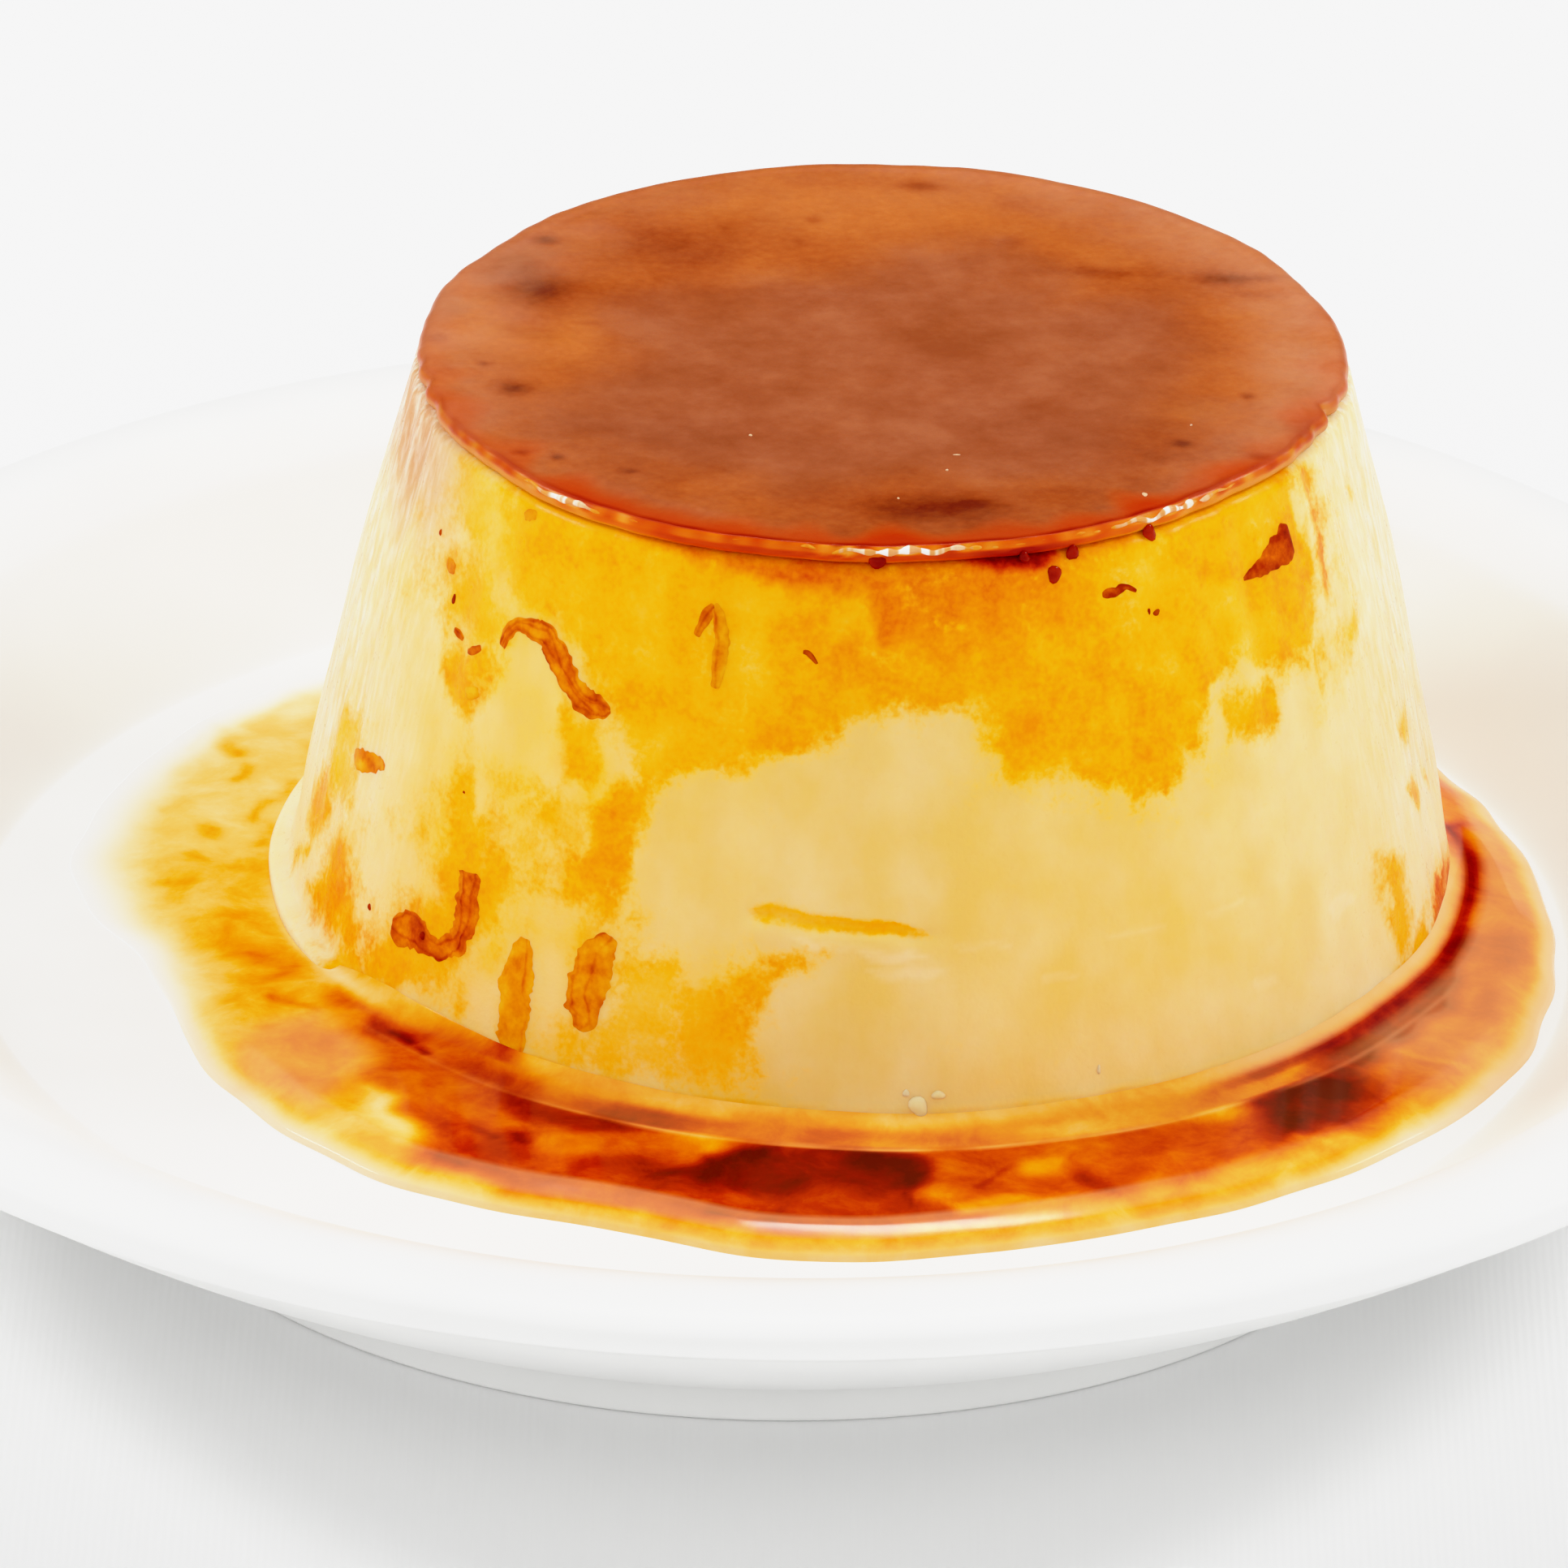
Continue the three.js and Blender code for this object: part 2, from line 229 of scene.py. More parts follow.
cloth_mesh = bpy.data.meshes.new("cotton_cloth")
corners = [(x * STAGE_HALF, y * STAGE_HALF, 0) for x, y in ((-1, -1), (1, -1), (1, 1), (-1, 1))]
cloth_mesh.from_pydata(corners, [], [(0, 1, 2, 3)])
cloth = bpy.data.objects.new("cotton_cloth", cloth_mesh)
bpy.context.scene.collection.objects.link(cloth)
cotton, tree, spot = material("bleached_cotton")
depth = node(tree, "SeparateXYZ", {0: spot}).outputs["Y"]
blend = node(tree, "MapRange", {0: depth, 1: -0.12, 2: 0.06}, interpolation_type="SMOOTHSTEP")
# Painted light: brightest just in front of the saucer, where it lifts the shadow the saucer casts.
shade = node(tree, "ValToRGB", {0: blend}, stops=[(0, "f2f2f2"), (0.35, "fafafa"), (1, "f6f6f6")])
threads = node(tree, "TexWave", {0: spot, 1: 1 / (THREAD * METRE) / WAVES_PER_UNIT, 2: 1.0})
weave = node(tree, "Bump", {"Strength": 0.06, "Distance": 0.0002, "Height": threads.outputs[1]})
cloth_look = node(tree, "BsdfPrincipled", {
    "Base Color": shade, "Roughness": 0.9, "Normal": weave})
node(tree, "OutputMaterial", {0: cloth_look})
cloth_mesh.materials.append(cotton)

# %% [markdown]
# ## Meshes from rings
# Saucer, custard, skin and sauce are all round, so each is a stack of rings of points. Neighbouring
# rings are joined by four-sided faces. A stack that starts and ends on the axis is closed by two fans,
# and one whose last ring joins its first, like a doughnut, needs none. Angles are in degrees from the
# front of the pudding, positive to the right, and heights are millimetres above the pudding's foot.

# %% Meshes from rings
def around(angle, radius, height, centre=AXIS, level=FOOT):
    """Points at angles and radii about an axis, as an array with x, y and z last."""
    a = np.radians(angle)
    x = centre[0] + radius * np.sin(a)
    y = centre[1] - radius * np.cos(a)
    return np.stack(np.broadcast_arrays(x, y, level + height), axis=-1)


def mesh_object(name, points, faces, finish, node_name):
    """A smooth piece that rides on the pudding's body and stands for a node of the model."""
    mesh = bpy.data.meshes.new(name)
    mesh.from_pydata((np.asarray(points) * METRE).tolist(), [], faces)
    mesh.shade_smooth()
    mesh.materials.append(finish)
    piece = bpy.data.objects.new(name, mesh)
    bpy.context.scene.collection.objects.link(piece)
    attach(piece, "root")
    if node_name:
        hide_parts(node_name)
    print(name, "has", len(faces), "faces")
    return piece


def face_outward(piece):
    """Turns every face of a closed mesh so that it looks out."""
    fix = bmesh.new()
    fix.from_mesh(piece.data)
    bmesh.ops.recalc_face_normals(fix, faces=fix.faces)
    fix.to_mesh(piece.data)
    fix.free()


def ring_faces(rings, columns, doughnut=False):
    """Faces between rings numbered one after another. Without doughnut, two fans close the ends."""
    index = np.arange(rings * columns).reshape(rings, columns)
    beside = np.roll(index, -1, axis=1)
    quads = np.stack([index, beside, np.roll(beside, -1, axis=0), np.roll(index, -1, axis=0)], axis=-1)
    if doughnut:
        return quads.reshape(-1, 4).tolist()
    first, last = rings * columns, rings * columns + 1
    faces = quads[:-1].reshape(-1, 4).tolist()
    faces += [(first, b, a) for a, b in zip(index[0].tolist(), beside[0].tolist())]
    faces += [(last, a, b) for a, b in zip(index[-1].tolist(), beside[-1].tolist())]
    return faces


def with_poles(rings):
    """Ring points as one list, followed by the middle of the first and of the last ring."""
    poles = [rings[0].mean(axis=0), rings[-1].mean(axis=0)]
    return np.concatenate([rings.reshape(-1, rings.shape[-1]), poles])


def paint(piece, **strengths):
    """Stores numbers for each vertex under a name, which a material reads with an Attribute node."""
    for name, values in strengths.items():
        layer = piece.data.attributes.new(name, "FLOAT", "POINT")
        layer.data.foreach_set("value", np.ascontiguousarray(values, dtype=np.float32))


# %% [markdown]
# ## Soft shapes and seeded unevenness
# Nothing on food has a hard edge. `ease` turns a straight ramp into a soft one, and `bump` is a bell
# round one angle. `ripple` adds up a few waves with random starts. Each wave goes round a whole number
# of times, so the unevenness closes on itself. The seed makes the same pudding every time.

# %% Soft shapes and seeded unevenness
def ease(value, start=0.0, end=1.0):
    """0 before start, 1 after end, and a soft slope between."""
    t = np.clip((value - start) / (end - start), 0, 1)
    return t * t * (3 - 2 * t)


def bell(distance, width):
    """1 at no distance, a third at the width, and soon nothing."""
    return np.exp(-((distance / width) ** 2))


def bump(angle, middle, width, rise=1.0):
    """A bell round one angle, in degrees. One that rises above 1 is cut flat there."""
    height = rise * bell((angle - middle + 180) % 360 - 180, width)
    return np.clip(height, 0, 1) if rise > 1 else height


def between(value, start, full, fall, end):
    """1 from full to fall, with soft slopes down to start and to end."""
    return ease(value, start, full) * (1 - ease(value, fall, end))


def toward(values, target, share):
    """Values moved by a share of the way towards a target."""
    return values + (target - values) * share


def ripple(angle, height, seed, turns, lean, waves=8):
    """Waves that go round between turns[0] and turns[1] times and lean by up to so much per mm."""
    draw = np.random.default_rng(seed)
    total = np.zeros(np.broadcast(angle, height).shape)
    for _ in range(waves):
        count = draw.integers(turns[0], turns[1] + 1)
        slope = draw.uniform(-lean, lean)
        start = draw.uniform(0, 2 * np.pi)
        total += np.sin(np.radians(angle) * count + height * slope + start)
    return total / np.sqrt(waves)


def broken(angle, seed, turns, mean, swing):
    """A strength that fades and comes back along an edge."""
    return np.clip(mean + swing * ripple(angle, 0.0, seed, turns, 0), 0, 1)


def inside(points, outline):
    """How far each point is inside a closed outline, negative outside, in the outline's unit."""
    x, y = points[..., 0], points[..., 1]
    nearest = np.full(x.shape, np.inf)
    within = np.zeros(x.shape, bool)
    for (ax, ay), (bx, by) in zip(outline, np.roll(outline, -1, axis=0)):
        ex, ey = bx - ax, by - ay
        along = np.clip(((x - ax) * ex + (y - ay) * ey) / (ex * ex + ey * ey), 0, 1)
        nearest = np.minimum(nearest, np.hypot(x - ax - along * ex, y - ay - along * ey))
        crosses = (ay > y) != (by > y)
        within ^= crosses & (x < ax + (y - ay) * ex / (ey if ey else 1))
    return np.where(within, nearest, -nearest)


def washes(points, patches, scale=(1, 1)):
    """The strongest of several soft-edged patches. Each is (strength, softness, outline)."""
    total = np.zeros(points.shape[:-1])
    for strength, softness, outline in patches:
        depth = inside(points, np.array(outline, float) * scale)
        total = np.maximum(total, strength * ease(depth, -softness / 2, softness / 2))
    return total


def painted(points, patches, scale=(1, 1), ground=0.4, blur=1.0):
    """Patches laid one over another: how covered a point is, 0.5 on an outline, and how strongly."""
    cover = np.zeros(points.shape[:-1])
    strength = np.full(cover.shape, ground)
    for amount, softness, outline in patches:
        depth = inside(points, np.array(outline, float) * scale)
        here = ease(depth, -blur * softness, blur * softness)
        cover = np.maximum(cover, here)
        strength = toward(strength, amount, here)
    return cover, strength


# %% [markdown]
# ## Glazed porcelain
# White hotel porcelain is fired clay under a thin clear glass. The eye sees a soft warm white with
# clean mirror glints at the crown of the rim. Glaze is never quite flat: it settles in waves some
# millimetres wide, which bend the reflections a little, so a faint noise goes into the bump.

# %% Glazed porcelain
GLAZE_WAVE = 9.0

porcelain, tree, spot = material("glazed_porcelain")
waves = node(tree, "TexNoise", {"Vector": spot, "Scale": 1 / (GLAZE_WAVE * METRE), "Detail": 1.0})
glaze = node(tree, "Bump", {"Strength": 0.12, "Distance": 0.0003, "Height": waves})
tone = node(tree, "ValToRGB", {0: waves}, stops=[(0.3, "f3f3f1"), (0.7, "f6f6f4")])
glaze_gloss = node(tree, "MapRange", {0: waves, 3: 0.28, 4: 0.36})
clay_look = node(tree, "BsdfPrincipled", {
    "Base Color": tone, "Roughness": glaze_gloss, "IOR": 1.52,
    "Specular IOR Level": 0.07,
    "Normal": glaze})
node(tree, "OutputMaterial", {0: clay_look})

# %% [markdown]
# ## The saucer
# A saucer is turned on a wheel or pressed by a roller head, so half a section spun round an axis is
# exactly how the real one gets its form. The section runs from the middle of the foot out to the rim,
# over the broad soft lip and back in to the flat well. Its bends are quadratic curves.

# %% The saucer
SAUCER_RADIUS = saucer_high[0]
SAUCER_HEIGHT = saucer_high[2]
WELL_RADIUS = 50.4
WELL_LEVEL = 12.0
LIP_INNER = 61.0
LIP_CROWN = LIP_INNER + 0.59 * 9.8
FOOT_RADIUS = 42.3
FOOT_INNER = 38.7
CENTRE_HOLE = 0.5
UNDERSIDE = 3.4
SAUCER_COLUMNS = 288


def bend(start, control, end, steps):
    """Points of a quadratic curve, without its last one."""
    t = np.linspace(0, 1, steps, endpoint=False)[:, None]
    a, b, c = (np.array(point, float) for point in (start, control, end))
    return (1 - t) ** 2 * a + 2 * t * (1 - t) * b + t ** 2 * c


def straight(start, end, steps):
    """Points of a straight stretch, without its last one."""
    return bend(start, (np.array(start) + end) / 2, end, steps)


foot_out = (FOOT_RADIUS + 0.8, 2.9)
under_rim = (SAUCER_RADIUS - 0.6, 19.4)
rim_edge = (SAUCER_RADIUS, 20.3)
crown = (LIP_CROWN, SAUCER_HEIGHT)
lip_start = (LIP_INNER, SAUCER_HEIGHT - 2.0)
well_edge = (WELL_RADIUS, WELL_LEVEL)
belly = (np.array(foot_out) + under_rim) / 2 + 1.5 * np.array([0.5, -0.86])
section = np.concatenate([
    straight((CENTRE_HOLE, UNDERSIDE), (38.3, UNDERSIDE), 12),
    bend((38.3, UNDERSIDE), (38.4, 3.3), (FOOT_INNER, 0.4), 4),
    bend((FOOT_INNER, 0.4), (FOOT_INNER, 0), (39.1, 0), 4),
    straight((39.1, 0), (41.9, 0), 4),
    bend((41.9, 0), (FOOT_RADIUS, 0), (FOOT_RADIUS, 0.4), 4),
    bend((FOOT_RADIUS, 0.4), (FOOT_RADIUS, 2.2), foot_out, 6),
    bend(foot_out, belly, under_rim, 30),
    bend(under_rim, (SAUCER_RADIUS, 19.5), rim_edge, 8),
    bend(rim_edge, (SAUCER_RADIUS, SAUCER_HEIGHT), crown, 18),
    bend(crown, (LIP_INNER + 3.6, SAUCER_HEIGHT), lip_start, 14),
    bend(lip_start, (WELL_RADIUS + 1.2, WELL_LEVEL), well_edge, 26),
    straight(well_edge, (CENTRE_HOLE, WELL_LEVEL), 24),
])
columns = np.arange(SAUCER_COLUMNS) * 360 / SAUCER_COLUMNS
saucer_rings = around(columns[None, :], section[:, :1], section[:, 1:], centre=(0, 0), level=0)
mesh_object("porcelain_saucer", with_poles(saucer_rings), ring_faces(len(section), SAUCER_COLUMNS),
            porcelain, "saucer")

# %% [markdown]
# ## The wall of the custard
# The mould is a steep cone, and the custard copies it, then slumps: the wall swells a little, one
# corner of the top leans out and another falls in, and thin vertical folds run where the skin of the
# custard dragged along the metal. `wall_radius` gives the plain form and `wall_relief` what the hand
# would feel on it: lumps some 10 mm wide, folds 3 to 6 mm apart that are deeper at the two sides, and
# a shallow crack at the front where the custard pulled apart.

# %% The wall of the custard
WALL_SWELL = 0.4
CORNER_OUT = 0.8
CORNER_IN = 0.6
LUMP_DEPTH = 0.07
FOLD_DEPTH = 0.035
SIDE_FOLD_DEPTH = 0.09
CRACK_DEPTH = 0.4
CRACK_WIDTH = 0.32
MEAN_RADIUS = 33.0
MM_PER_DEGREE = np.radians(1) * MEAN_RADIUS
crack_path = np.array([(-13.8, 14.2), (-9.5, 14.1), (-5, 13.8), (1.5, 13.6), (7.5, 13.1)])


def wall_radius(angle, height):
    """The wall's distance from the axis, without its relief."""
    up = height / HEIGHT
    corners = CORNER_OUT * bump(angle, -38, 26) - CORNER_IN * bump(angle, 46, 26)
    waves = np.sin(np.radians(11 * angle) + 2.5 * up) + np.sin(np.radians(17 * angle) - 4 * up)
    straight_wall = BASE_RADIUS + (TOP_RADIUS - BASE_RADIUS) * up
    return straight_wall + WALL_SWELL * np.sin(np.pi * up) + corners * up ** 2 + 0.06 * waves


def crack_gap(angle, height):
    """Height above the crack's line in mm, and how open the crack is at that angle."""
    line = np.interp(angle, crack_path[:, 0], crack_path[:, 1])
    line = line + 0.07 * np.sin(angle * 1.1) + 0.03 * np.sin(angle * 4.1)
    opened = between(angle, -14, -11, 3, 8.5)
    return height - line, opened


def wall_relief(angle, height):
    """How far the relief stands out from the wall."""
    sides = np.clip(bump(angle, -78, 26) + bump(angle, 76, 24), 0, 1)
    lumps = LUMP_DEPTH * ripple(angle, height, 11, (5, 15), 0.45)
    folds = (FOLD_DEPTH + SIDE_FOLD_DEPTH * sides) * ripple(angle, height, 12, (38, 78), 0.06)
    gap, opened = crack_gap(angle, height)
    cut = -CRACK_DEPTH * bell(gap, CRACK_WIDTH)
    lip = 0.14 * bell(gap + 1.1, 0.8)
    return (lumps + folds) * ease(height, 1.0, 6.0) + opened * (cut + lip)


def wall_face(angle, height):
    """Distance of the wall's surface from the axis."""
    return wall_radius(angle, height) + wall_relief(angle, height)


print("wall at half height:", round(float(wall_radius(0.0, HEIGHT / 2)), 2), "mm from the axis")

# %% [markdown]
# ## Where the caramel soaked in
# In the mould the hot syrup creeps up between custard and metal and dyes the outside of the custard.
# It leaves a broad amber sheet below the top and loose patches further down. These are drawn as
# outlines of angle and height, each with a strength and the softness of its edge in mm, and laid
# over each other like watercolour. Strength is how much caramel there is: 0.2 is honey, 0.45 amber, 0.6
# orange, and above 0.8 red brown. Pale gaps are taken away again, and a thin honey wash lies between.

# %% Where the caramel soaked in
BACK_STAIN_LEVEL, BACK_STAIN_FULL = 21, 28
amber_patches = [
    (0.28, 2.6, [(-63, 36.5), (-50, 37), (-50, 30), (-62, 31)]),
    (0.36, 2.2, [(-62, 30), (-50, 31), (-46, 28), (-46.5, 25.2), (-56, 25), (-61, 27)]),
    (0.26, 2.0, [(-78, 16), (-70, 16), (-68, 10), (-74, 9), (-79, 11)]),
    (0.42, 1.3, [(-55, 40), (62, 40), (62, 30), (60.5, 25.4), (52, 24.6), (46, 25.8), (40.4, 25.2),
        (39, 22.4), (36, 20.6), (33, 19.8), (28, 20.2), (24, 21.6), (15, 22.2), (11.8, 24.2),
        (10.6, 26.6), (6, 27), (-2, 26), (-9, 24.2), (-16, 22.6), (-21, 22), (-26, 20), (-29, 22.4),
        (-31, 25), (-35, 27), (-39.5, 29.2), (-46, 29), (-48, 31), (-47, 33), (-51, 35)]),
    (0.47, 1.3, [(-21, 22.8), (-23.4, 20.4), (-25.6, 18), (-26, 12), (-30, 12), (-33.5, 12.2),
        (-37.4, 12.4), (-34.8, 13.8), (-33.6, 15.4), (-31, 16.4), (-31, 18.4), (-29, 20.5), (-26, 22)]),
    (0.42, 1.2, [(-37, 24.6), (-30.6, 24.4), (-30.4, 21), (-31.5, 19.8), (-34.4, 19.6), (-36, 21),
        (-37.4, 22.6)]),
    (0.40, 1.2, [(-38.4, 18.6), (-35, 19.6), (-33.6, 18), (-34.4, 16.6), (-37.6, 17)]),
    (0.36, 1.4, [(-50, 37), (-44, 37), (-44, 30), (-48.5, 29.4), (-50.5, 33)]),
    (0.42, 1.2, [(-61, 28.8), (-57.5, 29.8), (-53.4, 28.8), (-52.4, 27.4), (-49.6, 25.6), (-52, 25.2),
        (-56, 26.6), (-60.4, 27.6)]),
    (0.46, 1.1, [(-57, 24), (-55.8, 25.2), (-51, 25.4), (-47.2, 26.2), (-46.4, 24.8), (-48.4, 23),
        (-50, 21), (-54, 21.4), (-57, 22.6)]),
    (0.44, 1.3, [(-50, 18.2), (-47.6, 18), (-45.5, 16), (-42, 15), (-40.2, 13), (-40.3, 10), (-42, 7.6),
        (-44.6, 6.6), (-46, 4.4), (-50, 3), (-53, 2), (-59, 1.2), (-60.4, 2.6), (-58, 5), (-54.6, 8),
        (-50.4, 9.6), (-51.4, 13), (-50.6, 15)]),
    (0.50, 1.3, [(-78, 2.6), (-74, 5), (-73, 7.6), (-70.6, 9.2), (-66.4, 8.4), (-64.6, 6), (-61, 4.6),
        (-61, 2.4), (-66, 1.6), (-72, 1.8)]),
    (0.46, 1.2, [(-83, 8), (-78, 11), (-74.4, 10.8), (-72.4, 9), (-74, 7.2), (-78, 5), (-83, 5)]),
    (0.34, 0.9, [(-87, 2.6), (-80, 4.8), (-77, 5.2), (-79, 3.2), (-84, 2)]),
    (0.42, 1.0, [(-66.4, 3.2), (-59, 2.4), (-56, 1.6), (-58, 0.2), (-66, 0.8)]),
    (0.43, 1.3, [(-20, 9.4), (-14, 10), (-8.6, 12), (-4.4, 12.2), (-6.4, 10.8), (-10.2, 9.6), (-11, 8),
        (-11.2, 3.4), (-14, 2), (-17, 3.4), (-19.6, 5)]),
    (0.28, 1.6, [(-27, 9.8), (-19, 10.5), (-18, 3), (-25, 2.4), (-33, 2.6), (-33, 5), (-27, 5.5)]),
    (0.46, 3.4, [(12.6, 31), (12, 25), (16, 22.6), (24, 22), (30, 20.4), (36, 21), (38.6, 24), (38, 28),
        (30, 31), (20, 33)]),
    (0.47, 3.2, [(-14, 31), (-9, 26.5), (0, 27), (8, 28.4), (12, 33), (-2, 34)]),
    (0.60, 3.0, [(-6, 37), (26, 37), (22, 32.4), (8, 31.2), (-2, 33)]),
    (0.46, 1.8, [(49.8, 24), (59.6, 24.2), (62, 28), (62, 33), (56, 34), (50, 30)]),
    (0.42, 1.3, [(40.6, 24.8), (44, 25.3), (51.4, 24.6), (51.6, 22.6), (48.6, 21.2), (42.4, 21.8)]),
    (0.42, 0.9, [(57.6, 25.2), (60.6, 25.2), (60.2, 22.8), (59.2, 21.2), (57.8, 22.4)]),
    (0.30, 1.6, [(61.5, 25), (68.6, 25.4), (69.6, 24), (64, 22)]),
    (0.44, 1.2, [(61.5, 36), (66, 35), (66.6, 31), (64.8, 28), (62, 26)]),
    (0.62, 0.9, [(63.4, 33.6), (66.2, 33.2), (66, 30.4), (64.6, 28.5), (63.2, 28.6), (63.8, 31)]),
    (0.50, 0.9, [(74, 32), (76, 31.8), (76.8, 30.8), (75, 30.6)]),
    (0.42, 1.3, [(63.4, 10), (67, 9.6), (69.6, 8), (69.4, 4), (67, 2.4), (63.6, 3.4)]),
    (0.42, 0.8, [(72, 12.6), (75, 11.8), (78.4, 11.2), (80, 8.6), (76.5, 10), (73.4, 11.4)]),
    (0.34, 1.2, [(73.6, 16), (80, 16.6), (80, 13.8), (76, 13.8)]),
    (0.50, 0.8, [(80.8, 10.8), (84, 10.4), (85.6, 9), (83, 9.2)]),
    (0.40, 1.2, [(63, 2.4), (70, 3.4), (73, 4.6), (74, 0), (62, 0)]),
    (0.74, 1.4, [(72.5, -1), (73.4, 2.6), (76, 5), (80, 4.4), (84, 4.6), (90, 3), (100, 2), (112, 1.4),
        (112, -1)]),
    (0.66, 1.0, [(0, 33.8), (5, 34), (9, 32.8), (6, 31.6), (1, 31.8)]),
    (0.60, 0.7, [(-34, 40), (-33, 36.4), (-20, 35.1), (-10, 34.4), (0, 34.2), (8, 34.5), (22, 34.7),
        (30, 35.6), (45, 36.3), (60, 36.2), (60, 40)]),
    (0.64, 0.28, [(-29, 40), (-28, 35.8), (-20, 35.2), (-12, 34.6), (-3, 34.7), (5, 34.6), (12, 34.9),
        (12, 40)]),
    (0.88, 0.28, [(9, 40), (9.4, 36), (14, 35.3), (19, 35.1), (22, 35.5), (22.6, 40)]),
]
pale_gaps = [
    (0.12, 2.6, [(-17.2, 34), (-12.6, 34), (-12.6, 28), (-16.8, 28)]),
    (0.14, 2.0, [(-5.6, 33.8), (-1.4, 33.4), (-1.6, 31.6), (-5.4, 31.6)]),
    (0.07, 2.6, [(29, 31), (37.6, 30), (38, 26.6), (33, 26.4)]),
    (0.12, 2.2, [(42, 31), (49, 30), (49.6, 25.4), (46, 25)]),
    (0.12, 2.4, [(31.6, 35.4), (35.6, 35.2), (35.4, 31.4), (32, 31.2)]),
    (0.12, 3.0, [(-31, 33), (-26, 33.5), (-25.5, 28), (-30, 27.6)]),
    (0.16, 1.6, [(60.4, 34.5), (62.6, 34.5), (62.8, 29), (60.8, 29)]),
    (0.08, 3.0, [(-30, 25), (-22, 24), (-24, 21), (-29, 21)]),
    (0.12, 2.6, [(-57, 36), (-52, 36), (-46, 29), (-49, 26.5), (-53, 30)]),
]
honey_washes = [
    (0.20, 6.0, [(-74, 27), (-52, 36), (-30, 36), (-28, 24), (-26, 10), (-12, 10), (-12, 2), (-60, 2),
        (-80, 6), (-78, 20)]),
    (0.13, 5.0, [(57, 36), (72, 33), (73, 22), (58, 20)]),
    (0.14, 4.0, [(59, 12), (72, 10), (73, 2), (59, 2)]),
]
speckled = [
    (0.46, 4.0, [(-80, 9), (-60, 13), (-52, 20), (-34, 20), (-26, 20), (-22, 12), (-12, 12), (-9, 2),
        (-60, 1), (-82, 3)]),
    (0.44, 4.0, [(-72, 30), (-62, 37), (-30, 37), (-30, 27), (-46, 28), (-58, 25), (-68, 25)]),
    (0.38, 3.0, [(56, 37), (72, 36), (72, 22), (56, 20)]),
]
windows = [
    (1.0, 3.0, [(-48.5, 25.6), (-45, 27.4), (-41, 27.2), (-37, 24.6), (-38, 19.6), (-46, 18.6),
        (-49.4, 21)]),
    (0.9, 5.0, [(-72, 23), (-60, 25), (-52, 21.6), (-54, 15.4), (-62, 16.6), (-74, 17)]),
    (0.8, 3.0, [(-64, 11), (-57, 11.6), (-53, 10), (-57, 7.6), (-64, 7.4)]),
    (0.7, 2.0, [(-43, 5.4), (-40, 5.6), (-39.6, 2.6), (-43, 2.6)]),
    (0.7, 2.0, [(-36.4, 11.6), (-31.6, 11.6), (-31.4, 4), (-35, 3.4)]),
]


def caramel_soak(angle, height):
    """Cover and strength of the stain. The outlines are shaken by up to half a mm, less near the rim."""
    coarse, fine = (ripple(angle, height, seed, (30, 90), 1.2) for seed in (21, 22))
    calm = 1 - 0.8 * ease(height, 32, 34.5)
    points = np.stack([(angle + 0.6 * coarse) * MM_PER_DEGREE, height + 0.25 * fine * calm], axis=-1)
    scale = (MM_PER_DEGREE, 1)
    cover, strength = painted(points, amber_patches, scale, blur=1.5)
    clear = washes(points, windows, scale)
    gaps = washes(points, pale_gaps, scale)
    cover = np.maximum(cover, washes(points, speckled, scale) * (1 - clear))
    ragged = ripple(angle, height, 23, (4, 13), 0.16)
    streaks = ease(ripple(angle, height, 24, (6, 20), 0.3), 0.9, 1.9)
    sheet = ease(height + 3.2 * ragged, BACK_STAIN_LEVEL, BACK_STAIN_FULL)
    behind = ease(np.abs(angle), 92, 112) * np.maximum(sheet, 0.8 * streaks)
    cover = np.maximum(cover - 0.6 * gaps, behind)
    return cover, strength - gaps


cover_here, strength_here = caramel_soak(np.array([0.0]), np.array([30.0]))
print("stain at the front, 30 mm up: cover", cover_here.round(2), "strength", strength_here.round(2))

# %% [markdown]
# ## Set egg custard
# Custard is milk, egg and sugar set by slow heat: a wet, dense gel that light enters for a few
# millimetres, so shadows on it glow and never go grey. That is subsurface scattering, with red light
# travelling furthest. Caramel is yellow when thin and red brown when thick, so one colour ramp turns
# strength into all its shades. Noise of two grain sizes is added to the cover before it is cut softly
# round one half, so the stains end in ragged, speckled edges like ink in wet paper.

# %% Set egg custard
BLOTCH = 2.8
GRAIN = 0.4
BLOTCH_REACH = 0.25
GRAIN_REACH = 0.11
DEPTH_CLOUD = 3.4
CREAM_CLOUD = 5.0
STREAK_WIDTH = 0.45
STREAK_STRETCH = 0.045
caramel_stops = [
    (0.00, "ecc162"), (0.12, "f4c256"), (0.22, "fabe3e"), (0.32, "fdb51a"), (0.42, "ffaa00"),
    (0.50, "fa9a00"), (0.58, "f08600"), (0.66, "e46c00"), (0.74, "d44c00"), (0.82, "be2c00"),
    (0.90, "941000"), (1.00, "600600")]

custard_look, tree, spot = material("set_egg_custard")
cover, soak, wash, cream, veil, silk = (node(tree, "Attribute", attribute_name=name).outputs["Fac"]
                                        for name in ("cover", "soak", "wash", "cream", "veil", "silk"))
blotch = node(tree, "TexNoise", {
    "Vector": spot, "Scale": 1 / (BLOTCH * METRE), "Detail": 8.0, "Roughness": 0.6, "Distortion": 0.25})
grain = node(tree, "TexNoise", {"Vector": spot, "Scale": 1 / (GRAIN * METRE), "Detail": 3.0})
reach = node(tree, "MapRange", {0: blotch, 1: 0.32, 2: 0.68, 3: -BLOTCH_REACH, 4: BLOTCH_REACH})
speck = node(tree, "MapRange", {0: grain, **NOISE, 3: -GRAIN_REACH, 4: GRAIN_REACH})
shaken = node(tree, "Math", {0: cover, 1: reach}, operation="ADD")
frayed = node(tree, "Math", {0: shaken, 1: speck}, operation="ADD")
